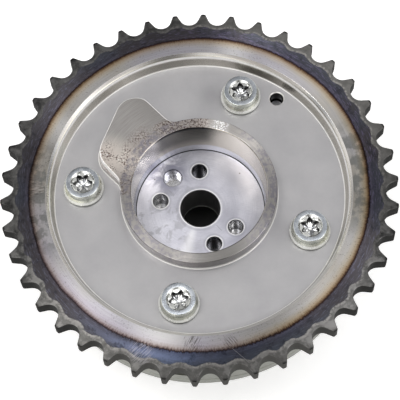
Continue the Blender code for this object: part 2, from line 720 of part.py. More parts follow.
def make_screws():
    seat_z = DISC_TOP + GAP
    top_z = seat_z + HEAD_HEIGHT
    cup_z = top_z - CUP_DEPTH
    tip_z = SCREW_TIP_INSET
    neck_z = seat_z + FLANGE_T + FLANGE_RISE
    profile = [(0.0, cup_z), (LOBE_R + EDGE / 4, cup_z), (CUP_R, top_z), (HEAD_R - EDGE, top_z),
               (HEAD_R, top_z - EDGE), (HEAD_R, neck_z), (FLANGE_R - EDGE / 2, seat_z + FLANGE_T),
               (FLANGE_R, seat_z + FLANGE_T / 2), (FLANGE_R - EDGE / 2, seat_z), (SCREW_R, seat_z),
               (SCREW_R, tip_z + EDGE), (SCREW_R - EDGE, tip_z), (0.0, tip_z)]
    for k, degrees in enumerate(SCREW_DEGS):
        x, y = at(SCREW_CIRCLE_R, degrees)
        screw = turned(f"cover_screw_{k + 1}", profile, SCREW_STEPS, closed=False)
        screw.location = (x, y, 0.0)
        socket = prism(f"socket_{k + 1}", [lobed_outline()], cup_z - SOCKET_DEPTH, top_z + THROUGH,
                       CUTTERS)
        socket.location.x, socket.location.y = x, y
        socket.rotation_euler.z = rad(SCREW_TURN_DEGS[k])
        combine(screw, socket)
        finish(screw, (0.66, 0.68, 0.70), 1.0, 0.28)


make_sprocket_plate()
make_housing()
make_front_cover()
make_locating_pin()
make_rotor()
make_seals()
make_lock_parts()
make_screws()
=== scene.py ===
"""Looks of the cam phaser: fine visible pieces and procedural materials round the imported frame.

Metres, +Z up, on the part's own axis. The rotor and the lock pin's spring ride on "rotor", the other pieces
made here on "root".
"""
import math

import bmesh
import bpy
from mathutils import Matrix, Vector


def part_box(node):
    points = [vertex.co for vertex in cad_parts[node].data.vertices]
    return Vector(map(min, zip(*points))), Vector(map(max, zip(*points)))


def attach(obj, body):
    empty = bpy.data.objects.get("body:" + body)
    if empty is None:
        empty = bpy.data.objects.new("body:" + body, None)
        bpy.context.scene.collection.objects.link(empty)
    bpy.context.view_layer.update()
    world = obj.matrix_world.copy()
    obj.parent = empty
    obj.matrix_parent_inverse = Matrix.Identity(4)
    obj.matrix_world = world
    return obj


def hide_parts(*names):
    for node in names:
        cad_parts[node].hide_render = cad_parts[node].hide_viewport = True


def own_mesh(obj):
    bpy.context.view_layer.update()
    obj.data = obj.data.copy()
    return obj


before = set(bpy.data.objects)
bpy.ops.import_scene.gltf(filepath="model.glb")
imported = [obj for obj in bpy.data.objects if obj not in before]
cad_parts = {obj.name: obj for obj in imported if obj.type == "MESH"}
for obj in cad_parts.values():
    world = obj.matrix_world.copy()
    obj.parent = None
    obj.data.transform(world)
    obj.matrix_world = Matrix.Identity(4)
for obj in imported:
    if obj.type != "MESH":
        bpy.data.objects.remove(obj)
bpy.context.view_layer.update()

MM = 0.001
TURN = 2 * math.pi
DISC_SIDES = 240
HOLE_SIDES = 48

# Levels, read from the frame
PLATE_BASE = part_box("sprocket_plate")[0].z
FACE_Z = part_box("sprocket_plate")[1].z
ROTOR_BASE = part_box("vane_rotor")[0].z
ROTOR_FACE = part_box("vane_rotor")[1].z
SCREW_TIP_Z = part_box("cover_screw_1")[0].z
SCREW_TOP_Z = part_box("cover_screw_1")[1].z
DISC_TOP = FACE_Z - 4.5 * MM
TOOTH_BACK_Z = FACE_Z - 5.4 * MM

# Teeth, for a chain of 8 mm pitch
TEETH = 42
PITCH_R = 8.0 * MM / (2 * math.sin(math.pi / TEETH))
TIP_R = PITCH_R + 1.94 * MM
ROOT_R = PITCH_R - 1.73 * MM
GAP_ARC_R = 2.8 * MM
FLANK = math.radians(62.0)
TIP_FILLET = 0.5 * MM
TOOTH_ANGLE = math.radians(7.74)
SHOULDER_R = ROOT_R - 1.0 * MM
TOOTH_SIDE_DROP = 0.5 * MM
TOOTH_EDGE = 0.16 * MM

# Plate
BORE_R = 18.9 * MM
BORE_FOOT_R = 18.4 * MM
BORE_FOOT_RISE = 2.0 * MM
BORE_LIP = 0.4 * MM
BOSS_R = 21.85 * MM
BOSS_EDGE = 0.28 * MM
BOSS_FOOT = 0.4 * MM
RECESS_R = 40.5 * MM
SLOPE_FOOT_R = RECESS_R + 0.2 * MM
SLOPE_TOP_R = RECESS_R + 1.4 * MM
SLOPE_TOP_Z = FACE_Z - 0.8 * MM
RIM_INNER_R = 42.75 * MM
NECK_R = 46.4 * MM
NECK_FOOT = 1.2 * MM
SCREW_DEGS = (64.9, 171.7, 256.4, 336.0)
SCREW_TURN_DEGS = (30.0, 0.0, 10.0, 30.0)
SCREW_CIRCLE_R = 32.6 * MM
SCREW_HOLE_R = 3.25 * MM
LOCATING_DEG = 49.6
LOCATING_CIRCLE_R = 37.15 * MM
LOCATING_HOLE_R = 1.95 * MM
LOCATING_MOUTH = 0.3 * MM

# Lock pin, and the pad over it
LOCK_DEG = 126.0
LOCK_CIRCLE_R = 27.0 * MM
LOCK_SEAT_R = 5.6 * MM
LOCK_SEAT_DEPTH = 7.6 * MM
PAD_CORNERS = ((9.3, -1.0, 3.8), (1.8, 7.85, 4.6), (-4.15, 7.85, 5.6), (-12.2, -9.0, 6.2), (-5.6, -17.8, 5.0))
PAD_END_DEGS = (99.5, 176.5)
PAD_DRAFT = 0.5 * MM
PAD_SPREAD_OVER = 3.0 * MM

# Rotor face; a port is its degrees from the lock pin and its depth
HOLE_R = 5.5 * MM
HOLE_CHAMFER = 0.3 * MM
BURR_R = HOLE_R - 0.15 * MM
BURR_TOP = 0.1 * MM
BURR_END = 0.25 * MM
BOLT_RECESS_R = 12.5 * MM
BOLT_SEAT_Z = ROTOR_BASE + 1.0 * MM
SHALLOW_PORT = 5.5 * MM
DEEP_PORT = 10.0 * MM
PORTS = ((-38.3, SHALLOW_PORT), (38.3, DEEP_PORT), (160.0, SHALLOW_PORT), (200.0, DEEP_PORT))
PORT_CIRCLE_R = 11.6 * MM
PORT_R = 2.1 * MM
PORT_CHAMFER = 0.2 * MM
DOWEL_CIRCLE_R = 12.4 * MM
DOWEL_HOLE_R = 2.6 * MM
DOWEL_HOLE_DEPTH = 3.2 * MM
PLUG_R = 19.7 * MM
PLUG_LAP = 0.02 * MM
WELD_REACH = 0.000001
WELD_ANGLE = 0.001

# Housing and cover
HOUSING_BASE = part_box("housing")[0].z
HOUSING_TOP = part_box("housing")[1].z
COVER_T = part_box("front_cover")[1].z
BODY_R = 47.0 * MM
BODY_EDGE = 0.4 * MM
COVER_EDGE = 0.8 * MM
COVER_BORE_R = 13.0 * MM
GAP = 0.3 * MM
HUB_R = 20.3 * MM
SHOE_TIP_R = HUB_R + 2 * GAP
CHAMBER_R = 38.8 * MM
SLOT_HALF = 1.5 * MM
SLOT_DEPTH = 4.4 * MM
ROOT_FILLET = 0.8 * MM
CORNER_FILLET = 1.2 * MM
VANE_DEGS = tuple(LOCK_DEG + 90.0 * k for k in range(4))
VANE_WIDTHS = (34.0, 14.0, 14.0, 14.0)
TRAVEL_DEG = 22.0
FREE_VANE_DEG = 0.9
LOCATING_HOLE_DEPTH = 8.0 * MM
NOTCH_DEG = 252.0
NOTCH_WIDTH = 16.0 * MM
NOTCH_DEPTH = 2.0 * MM
NOTCH_SILL = 7.4 * MM

# Screws
FLANGE_R = 5.7 * MM
FLANGE_T = 0.6 * MM
FLANGE_RISE = 1.2 * MM
HEAD_R = 4.75 * MM
SHANK_R = 2.95 * MM
CUP_R = 3.35 * MM
CUP_DEPTH = 0.6 * MM
LOBES = 6
LOBE_R = 2.8 * MM
LOBE_WAVE = 0.42 * MM
SOCKET_DEPTH = 2.6 * MM
SCREW_SEAT_Z = DISC_TOP + 0.3 * MM

# How far a cutting shape reaches past a face
THROUGH = 2.0 * MM

# Angles in degrees past which an edge is drawn sharp
CREASE = 32.0
ROTOR_CREASE = 25.0
SCREW_CREASE = 40.0
FRAME_CREASE = 35.0

# Floor, lights (name, place, size, power, colour) and the camera, fitted to the photo
FLOOR_GAP = 0.05 * MM
FLOOR_HALF = 1.5
LIGHT_AIM = (0, 0, 0.02)
LIGHTS = (("left", (-0.36, 0.0, 0.83), (0.28, 0.28), 1.5, (1.0, 0.985, 0.96)),
          ("right", (0.35, 0.0, 0.83), (0.26, 0.26), 0.9, (0.98, 0.98, 1.0)),
          ("top", (0.0, 0.12, 0.88), (0.22, 0.12), 0.25, (1.0, 1.0, 1.0)))
STUDIO_BOX_DEG = 58.0
SENSOR_WIDTH = 36.0
LENS = 150.26
CAMERA_PLACE = (0.0, -182.86 * MM, 456.39 * MM)
CAMERA_RIGHT = (0.99735543, -0.06702215, -0.02811006)
CAMERA_UP = (0.07267824, 0.91900863, 0.38748033)


def new_object(name, data):
    item = bpy.data.objects.new(name, data)
    bpy.context.scene.collection.objects.link(item)
    return item


def at(radius, angle):
    """A point of the plan from its radius and its angle in radians."""
    return (radius * math.cos(angle), radius * math.sin(angle))


def polar(radius, degrees):
    return at(radius, math.radians(degrees))


# Outlines and meshes

def circle(radius, count, centre=(0.0, 0.0)):
    return [(centre[0] + radius * math.cos(TURN * i / count),
             centre[1] + radius * math.sin(TURN * i / count)) for i in range(count)]


def rounded(corners, step=12.0, closed=True):
    """An outline from corners (x, y, fillet radius)."""
    points = []
    last = len(corners) - 1
    for i, (x, y, radius) in enumerate(corners):
        if radius <= 0 or (not closed and i in (0, last)):
            points.append((x, y))
            continue
        here = Vector((x, y))
        back = Vector(corners[i - 1][:2]) - here
        ahead = Vector(corners[(i + 1) % len(corners)][:2]) - here
        half = back.angle(ahead) / 2
        reach = radius / math.tan(half)
        middle = here + (back.normalized() + ahead.normalized()).normalized() * radius / math.sin(half)
        start = here + back.normalized() * reach - middle
        end = here + ahead.normalized() * reach - middle
        sweep = math.atan2(start.x * end.y - start.y * end.x, start.dot(end))
        count = max(2, math.ceil(math.degrees(abs(sweep)) / step))
        for j in range(count + 1):
            spoke = start.copy()
            spoke.rotate(Matrix.Rotation(sweep * j / count, 2))
            points.append(tuple(middle + spoke))
    return points


def offset(outline, distance):
    """An anticlockwise outline moved outwards by a distance, or by a function of each point."""
    moved = []
    for i, point in enumerate(outline):
        back = Vector(point) - Vector(outline[i - 1])
        ahead = Vector(outline[(i + 1) % len(outline)]) - Vector(point)
        along = (back.normalized() + ahead.normalized()).normalized()
        reach = distance(point) if callable(distance) else distance
        moved.append((point[0] + along.y * reach, point[1] - along.x * reach))
    return moved


def ring(outline, height):
    return [(x, y, height) for x, y in outline]


def loft(name, rings):
    """A closed skin through rings of equally many points, with a flat cap on the first and the last."""
    count = len(rings[0])
    mesh = bpy.data.meshes.new(name)
    faces = [tuple(reversed(range(count)))]
    for level in range(len(rings) - 1):
        low = level * count
        for i in range(count):
            j = (i + 1) % count
            faces.append((low + i, low + j, low + count + j, low + count + i))
    top = (len(rings) - 1) * count
    faces.append(tuple(range(top, top + count)))
    mesh.from_pydata([point for line in rings for point in line], [], faces)
    shape = bmesh.new()
    shape.from_mesh(mesh)
    bmesh.ops.recalc_face_normals(shape, faces=shape.faces)
    shape.to_mesh(mesh)
    shape.free()
    return new_object(name, mesh)


def turned(name, profile, count, centre=(0.0, 0.0)):
    """A loft of circles through (radius, height) points."""
    return loft(name, [ring(circle(radius, count, centre), height) for radius, height in profile])


def bevel_steps(edge, steps=3):
    """(inward shift, drop) pairs along a quarter round from a top face to a side."""
    quarter = [math.pi / 2 * i / steps for i in range(steps + 1)]
    return [(edge * (1 - math.sin(a)), edge * (1 - math.cos(a))) for a in quarter]


def combine(item, tool, operation="DIFFERENCE"):
    """Apply a Boolean with another object, which is used up."""
    change = item.modifiers.new("combine", "BOOLEAN")
    change.operation = operation
    change.solver = "EXACT"
    change.object = tool
    apply_modifiers(item)
    bpy.data.objects.remove(tool, do_unlink=True)


def cut_round(item, profile, centre=(0.0, 0.0), sides=HOLE_SIDES):
    """Cut away what lies within (radius, height) points turned about a centre."""
    combine(item, turned("hole", profile, sides, centre))


def cut_screw_holes(item, low, high):
    for degrees in SCREW_DEGS:
        cut_round(item, [(SCREW_HOLE_R, low), (SCREW_HOLE_R, high)], polar(SCREW_CIRCLE_R, degrees))


def apply_modifiers(item):
    bpy.context.view_layer.update()
    depsgraph = bpy.context.evaluated_depsgraph_get()
    mesh = bpy.data.meshes.new_from_object(item.evaluated_get(depsgraph))
    item.modifiers.clear()
    item.data = mesh


def shade(item, degrees=CREASE, weighted=True):
    """Smooth shading with sharp creases; weighted normals keep large faces flat."""
    item.data.shade_smooth()
    item.data.set_sharp_from_angle(angle=math.radians(degrees))
    if weighted:
        normals = item.modifiers.new("normals", "WEIGHTED_NORMAL")
        normals.keep_sharp = True
        normals.weight = 100


# Toothed plate

def tooth_outline():
    """The toothed edge of the plate, anticlockwise."""
    half_pitch = math.pi / TEETH
    centre_r = ROOT_R + GAP_ARC_R
    count, step = 14, 0.01 * MM
    root = []
    for i in range(count + 1):
        a = -FLANK + 2 * FLANK * i / count
        root.append((centre_r - GAP_ARC_R * math.cos(a), GAP_ARC_R * math.sin(a), 0.0))
    x, y = root[-1][:2]
    while math.hypot(x, y) < TIP_R:
        x += step
        y += step / math.tan(FLANK)
    gap = [(x, -y, TIP_FILLET)] + root + [(x, y, TIP_FILLET)]
    corners = []
    for k in range(TEETH):
        turn = TOOTH_ANGLE + half_pitch * (2 * k + 1)
        c, s = math.cos(turn), math.sin(turn)
        corners += [(x * c - y * s, x * s + y * c, fillet) for x, y, fillet in gap]
    return rounded(corners, 16.0)


def tooth_face(x, y):
    """How far the tooth's side lies below the plate's face, at a point."""
    out = max(0.0, math.hypot(x, y) - SHOULDER_R)
    return TOOTH_SIDE_DROP * out / (TIP_R - SHOULDER_R)


def plate_rings():
    """Rings from the underside, round the teeth and over the rim to the recessed disc."""
    edge = tooth_outline()
    angles = [math.atan2(y, x) for x, y in edge]

    def plain(radius, height):
        return [(*at(radius, a), height) for a in angles]

    under = rounded([(NECK_R - NECK_FOOT, PLATE_BASE, 0), (NECK_R, PLATE_BASE, 0.4 * MM),
                     (NECK_R, TOOTH_BACK_Z, 0.8 * MM), (SHOULDER_R, TOOTH_BACK_Z, 0)], 30.0, False)
    rings = [plain(r, z) for r, z in under]
    lower, upper = [], []
    for shift, drop in bevel_steps(TOOTH_EDGE):
        line = offset(edge, -shift)
        lower.append([(x, y, TOOTH_BACK_Z + tooth_face(x, y) + drop) for x, y in line])
        upper.append([(x, y, FACE_Z - tooth_face(x, y) - drop) for x, y in line])
    rings += lower + upper[::-1]
    over = rounded([(SHOULDER_R, FACE_Z, 0), (RIM_INNER_R, FACE_Z, 0.25 * MM),
                    (SLOPE_TOP_R, SLOPE_TOP_Z, 0.25 * MM), (SLOPE_FOOT_R, DISC_TOP, 0.35 * MM),
                    (RECESS_R - 1.5 * MM, DISC_TOP, 0)], 15.0, False)
    return rings + [plain(r, z) for r, z in over]


def keyhole_outline():
    """Boss round the bore and pad over the lock pin, as one outline, anticlockwise."""
    lock = polar(LOCK_CIRCLE_R, LOCK_DEG)
    first, last = PAD_END_DEGS
    pad = [(lock[0] + x * MM, lock[1] + y * MM, fillet * MM) for x, y, fillet in PAD_CORNERS]
    sweep = 360.0 - (last - first)
    count = round(sweep / 2)
    around = [(*polar(BOSS_R, last + sweep * i / count), 0.0) for i in range(count + 1)]
    return rounded(pad + around, 8.0)


def drafted(shift, height):
    """An offset that also spreads the pad's wall, but not the boss's, towards its foot."""
    spread = PAD_DRAFT * (FACE_Z - height) / (FACE_Z - DISC_TOP)

    def reach(point):
        fade = min(1.0, max(0.0, (math.hypot(*point) - BOSS_R) / PAD_SPREAD_OVER))
        return shift + spread * fade
    return reach


def make_keyhole():
    outline = keyhole_outline()
    foot = [(s, DISC_TOP + d) for s, d in bevel_steps(BOSS_FOOT)]
    crown = [(-s, FACE_Z - d) for s, d in reversed(bevel_steps(BOSS_EDGE))]
    levels = [(BOSS_FOOT, DISC_TOP - THROUGH)] + foot + crown
    return loft("keyhole", [ring(offset(outline, drafted(s, z)), z) for s, z in levels])


def make_plate():
    plate = loft("toothed_plate", plate_rings())
    combine(plate, make_keyhole(), "UNION")
    lip = [(BORE_R + s, FACE_Z - d) for s, d in reversed(bevel_steps(BORE_LIP))]
    bore = [(BORE_FOOT_R, PLATE_BASE - THROUGH), (BORE_FOOT_R, PLATE_BASE),
            (BORE_R, PLATE_BASE + BORE_FOOT_RISE)] + lip + [(BORE_R + BORE_LIP, FACE_Z + THROUGH)]
    cut_round(plate, bore, sides=DISC_SIDES)
    cut_screw_holes(plate, PLATE_BASE - THROUGH, DISC_TOP + THROUGH)
    mouth_r = LOCATING_HOLE_R + LOCATING_MOUTH
    locating = [(LOCATING_HOLE_R, PLATE_BASE - THROUGH), (LOCATING_HOLE_R, DISC_TOP - LOCATING_MOUTH),
                (mouth_r, DISC_TOP), (mouth_r, DISC_TOP + THROUGH)]
    cut_round(plate, locating, polar(LOCATING_CIRCLE_R, LOCATING_DEG))
    seat = [(LOCK_SEAT_R, PLATE_BASE - THROUGH), (LOCK_SEAT_R, PLATE_BASE + LOCK_SEAT_DEPTH)]
    cut_round(plate, seat, polar(LOCK_CIRCLE_R, LOCK_DEG), 64)
    shade(plate)
    return plate


# Rotor

def make_rotor():
    """The frame's rotor with its visible face made fine: chamfered ports and a round centre hole."""
    rotor = new_object("rotor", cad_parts["vane_rotor"].data.copy())
    weld(rotor)
    plug = [(PLUG_R, ROTOR_BASE - PLUG_LAP), (PLUG_R, ROTOR_FACE + PLUG_LAP)]
    combine(rotor, turned("plug", plug, 128), "UNION")
    hole = [(BOLT_RECESS_R, ROTOR_BASE - THROUGH), (BOLT_RECESS_R, BOLT_SEAT_Z), (BURR_R, BOLT_SEAT_Z),
            (BURR_R, BOLT_SEAT_Z + BURR_TOP), (HOLE_R, BOLT_SEAT_Z + BURR_END),
            (HOLE_R, ROTOR_FACE - HOLE_CHAMFER), (HOLE_R + HOLE_CHAMFER, ROTOR_FACE),
            (HOLE_R + HOLE_CHAMFER, ROTOR_FACE + THROUGH)]
    cut_round(rotor, hole, sides=96)
    for turn, depth in PORTS:
        drill(rotor, PORT_CIRCLE_R, LOCK_DEG + turn, PORT_R, depth)
    drill(rotor, DOWEL_CIRCLE_R, LOCK_DEG, DOWEL_HOLE_R, DOWEL_HOLE_DEPTH)
    shade(rotor, ROTOR_CREASE)
    return rotor


def drill(item, circle_r, degrees, radius, depth):
    """A chamfered blind hole in the rotor's face."""
    profile = [(radius, ROTOR_FACE - depth), (radius, ROTOR_FACE - PORT_CHAMFER),
               (radius + PORT_CHAMFER, ROTOR_FACE), (radius + PORT_CHAMFER, ROTOR_FACE + THROUGH)]
    cut_round(item, profile, polar(circle_r, degrees))


def weld(item):
    """Join the loose triangles of a frame mesh into whole faces."""
    shape = bmesh.new()
    shape.from_mesh(item.data)
    bmesh.ops.remove_doubles(shape, verts=shape.verts, dist=WELD_REACH)
    bmesh.ops.dissolve_limit(shape, angle_limit=WELD_ANGLE, verts=shape.verts, edges=shape.edges)
    bmesh.ops.recalc_face_normals(shape, faces=shape.faces)
    shape.to_mesh(item.data)
    shape.free()


# Housing and cover

def arc(radius, first, last):
    """Points along a circle about the axis, two degrees apart, both ends included."""
    count = max(1, math.ceil(abs(last - first) / 2.0))
    return [polar(radius, first + (last - first) * i / count) for i in range(count + 1)]


def chamber_span(k):
    """First and last angle of the chamber in which vane k swings."""
    clearance = math.degrees(GAP / HUB_R) + (FREE_VANE_DEG if k else 0.0)
    half = VANE_WIDTHS[k] / 2 + clearance
    return (VANE_DEGS[k] - half - TRAVEL_DEG, VANE_DEGS[k] + half)


def cavity_outline():
    """The housing's inner wall: four chambers between four shoes with seal slots."""
    corners = []
    half_slot = math.degrees(math.asin(SLOT_HALF / SHOE_TIP_R))
    mouth_r = math.sqrt(SHOE_TIP_R ** 2 - SLOT_HALF ** 2)
    floor_r = SHOE_TIP_R + SLOT_DEPTH
    for k in range(4):
        first, last = chamber_span(k)
        before = chamber_span(k - 1)[1] - (360.0 if k == 0 else 0.0)
        middle = (before + first) / 2
        out = Vector(polar(1.0, middle))
        side = Vector((-out.y, out.x)) * SLOT_HALF
        plain = arc(SHOE_TIP_R, before, middle - half_slot)[1:-1]
        plain += [tuple(out * mouth_r - side), tuple(out * floor_r - side),
                  tuple(out * floor_r + side), tuple(out * mouth_r + side)]
        plain += arc(SHOE_TIP_R, middle + half_slot, first)[1:-1]
        corners += [(*point, 0.0) for point in plain]
        corners.append((*polar(SHOE_TIP_R, first), CORNER_FILLET))
        corners.append((*polar(CHAMBER_R, first), ROOT_FILLET))
        corners += [(*point, 0.0) for point in arc(CHAMBER_R, first, last)[1:-1]]
        corners.append((*polar(CHAMBER_R, last), ROOT_FILLET))
        corners.append((*polar(SHOE_TIP_R, last), CORNER_FILLET))
    return rounded(corners, 15.0)


def make_housing():
    side = rounded([(BODY_R - 2 * BODY_EDGE, HOUSING_BASE, 0), (BODY_R, HOUSING_BASE, BODY_EDGE),
                    (BODY_R, HOUSING_TOP, BODY_EDGE), (BODY_R - 2 * BODY_EDGE, HOUSING_TOP, 0)], 30.0, False)
    body = turned("housing_body", side, DISC_SIDES)
    low, high = HOUSING_BASE - THROUGH, HOUSING_TOP + THROUGH
    outline = cavity_outline()
    combine(body, loft("cavity", [ring(outline, low), ring(outline, high)]))
    cut_screw_holes(body, low, high)
    locating = [(LOCATING_HOLE_R, HOUSING_TOP - LOCATING_HOLE_DEPTH), (LOCATING_HOLE_R, high)]
    cut_round(body, locating, polar(LOCATING_CIRCLE_R, LOCATING_DEG))
    out = Vector(polar(1.0, NOTCH_DEG))
    across = Vector((-out.y, out.x)) * NOTCH_WIDTH / 2
    near, far = out * (BODY_R - NOTCH_DEPTH), out * (BODY_R + NOTCH_DEPTH)
    notch = [tuple(near - across), tuple(far - across), tuple(far + across), tuple(near + across)]
    combine(body, loft("notch", [ring(notch, NOTCH_SILL), ring(notch, high)]))
    shade(body)
    return body


def make_cover():
    top_edge = rounded([(BODY_R, COVER_EDGE, 0), (BODY_R, COVER_T, BODY_EDGE),
                        (BODY_R - 2 * BODY_EDGE, COVER_T, 0)], 30.0, False)
    cover = turned("cover_disc", [(BODY_R - COVER_EDGE, 0.0)] + top_edge, DISC_SIDES)
    bore = [(COVER_BORE_R + BODY_EDGE, -THROUGH), (COVER_BORE_R + BODY_EDGE, 0.0), (COVER_BORE_R, BODY_EDGE),
            (COVER_BORE_R, COVER_T + THROUGH)]
    cut_round(cover, bore, sides=120)
    cut_screw_holes(cover, -THROUGH, COVER_T + THROUGH)
    shade(cover)
    return cover


# Screws

def lobed(turn_degrees, count):
    """The outline of a six-lobe socket."""
    points = []
    for i in range(count):
        angle = TURN * i / count
        radius = LOBE_R - LOBE_WAVE + LOBE_WAVE * math.cos(LOBES * (angle - math.radians(turn_degrees)))
        points.append(at(radius, angle))
    return points


def make_screw(k):
    """Circles up the outside, over the head and into the cup, then lobes down to the socket's floor."""
    count = 96
    x, y = polar(SCREW_CIRCLE_R, SCREW_DEGS[k])
    cup_z = SCREW_TOP_Z - CUP_DEPTH
    flange_z = SCREW_SEAT_Z + FLANGE_T
    outside = rounded([(SHANK_R - 0.6 * MM, SCREW_TIP_Z, 0), (SHANK_R, SCREW_TIP_Z + 0.5 * MM, 0.1 * MM),
                       (SHANK_R, SCREW_SEAT_Z, 0.05 * MM), (FLANGE_R, SCREW_SEAT_Z, 0.25 * MM),
                       (FLANGE_R, flange_z, 0.25 * MM), (HEAD_R, flange_z + FLANGE_RISE, 0.3 * MM),
                       (HEAD_R, SCREW_TOP_Z, 0.25 * MM), (CUP_R, SCREW_TOP_Z, 0.06 * MM),
                       (LOBE_R + 0.1 * MM, cup_z, 0)], 20.0, False)
    rings = [ring(circle(r, count), z) for r, z in outside]
    lobes = lobed(SCREW_TURN_DEGS[k], count)
    rings.append(ring(lobes, cup_z - 0.05 * MM))
    rings.append(ring(offset(lobes, -0.06 * MM), cup_z - 0.2 * MM))
    rings.append(ring(offset(lobes, -0.08 * MM), cup_z - SOCKET_DEPTH + 0.9 * MM))
    rings.append(ring([(px * 0.25, py * 0.25) for px, py in lobes], cup_z - SOCKET_DEPTH + 0.15 * MM))
    screw = loft(f"screw_{k + 1}", [[(px + x, py + y, z) for px, py, z in line] for line in rings])
    shade(screw, SCREW_CREASE)
    return screw


# Materials: their numbers are millimetres on the part, radians round its axis, shares and linear colours

class Nodes:
    """Short names for the nodes of one tree."""

    def __init__(self, tree):
        self.tree = tree

    def put(self, socket, value):
        if isinstance(value, bpy.types.NodeSocket):
            self.tree.links.new(value, socket)
        else:
            socket.default_value = value

    def node(self, kind, inputs=(), **settings):
        """A new node with settings, and inputs of (socket, value)."""
        made = self.tree.nodes.new("ShaderNode" + kind)
        for key, value in settings.items():
            setattr(made, key, value)
        for key, value in inputs:
            self.put(made.inputs[key], value)
        return made

    def math(self, operation, a, b=0.0, c=0.0):
        return self.node("Math", enumerate((a, b, c)), operation=operation).outputs[0]

    def parts(self, vector):
        return self.node("SeparateXYZ", [(0, vector)]).outputs

    def joined(self, x, y, z=0.0):
        return self.node("CombineXYZ", enumerate((x, y, z))).outputs[0]

    def length(self, a, b):
        return self.math("SQRT", self.math("ADD", self.math("MULTIPLY", a, a), self.math("MULTIPLY", b, b)))

    def noise(self, vector, scale, detail=3.0, roughness=0.55, distortion=0.0):
        inputs = {"Vector": vector, "Scale": scale, "Detail": detail, "Roughness": roughness,
                  "Distortion": distortion}
        return self.node("TexNoise", inputs.items()).outputs[0]

    def spread(self, value, low, high, at_low=0.0, at_high=1.0, way="SMOOTHSTEP"):
        """A number that goes from at_low to at_high as the value goes from low to high."""
        inputs = {"Value": value, "From Min": low, "From Max": high, "To Min": at_low, "To Max": at_high}
        return self.node("MapRange", inputs.items(), interpolation_type=way).outputs[0]

    def band(self, value, low, high):
        """0 below low, 1 above high, smooth between; low may be above high."""
        if low > high:
            return self.spread(value, high, low, 1.0, 0.0)
        return self.spread(value, low, high)

    def hump(self, value, middle, half):
        """1 at the middle, falling to 0 at half on both sides."""
        return self.band(self.math("ABSOLUTE", self.math("SUBTRACT", value, middle)), half, 0.0)

    def all_of(self, *masks):
        """The product of masks and shares."""
        result = masks[0]
        for mask in masks[1:]:
            result = self.math("MULTIPLY", result, mask)
        return result

    def any_of(self, *masks):
        """The greatest of masks."""
        result = masks[0]
        for mask in masks[1:]:
            result = self.math("MAXIMUM", result, mask)
        return result

    def mix(self, factor, a, b, blend="MIX"):
        """A colour between a and b, or b laid over a in another way."""
        a, b = (c if isinstance(c, bpy.types.NodeSocket) else (*c, 1.0) for c in (a, b))
        return self.node("Mix", ((0, factor), (6, a), (7, b)), data_type="RGBA", blend_type=blend).outputs[2]

    def coats(self, colour, *coats):
        """A colour under coats of (mask, colour)."""
        for mask, coat in coats:
            colour = self.mix(mask, colour, coat)
        return colour

    def blend(self, factor, a, b):
        """A number between a and b."""
        return self.node("Mix", ((0, factor), (2, a), (3, b)), data_type="FLOAT").outputs[0]

    def ramp(self, value, stops):
        """A colour along stops of (position, colour)."""
        first, last = stops[0][0], stops[-1][0]
        node = self.node("ValToRGB", [(0, self.spread(value, first, last, way="LINEAR"))])
        elements = node.color_ramp.elements
        for i, (position, colour) in enumerate(stops):
            element = elements[i] if i < 2 else elements.new(1.0)
            element.position = (position - first) / (last - first)
            element.color = (*colour, 1.0)
        return node.outputs[0]


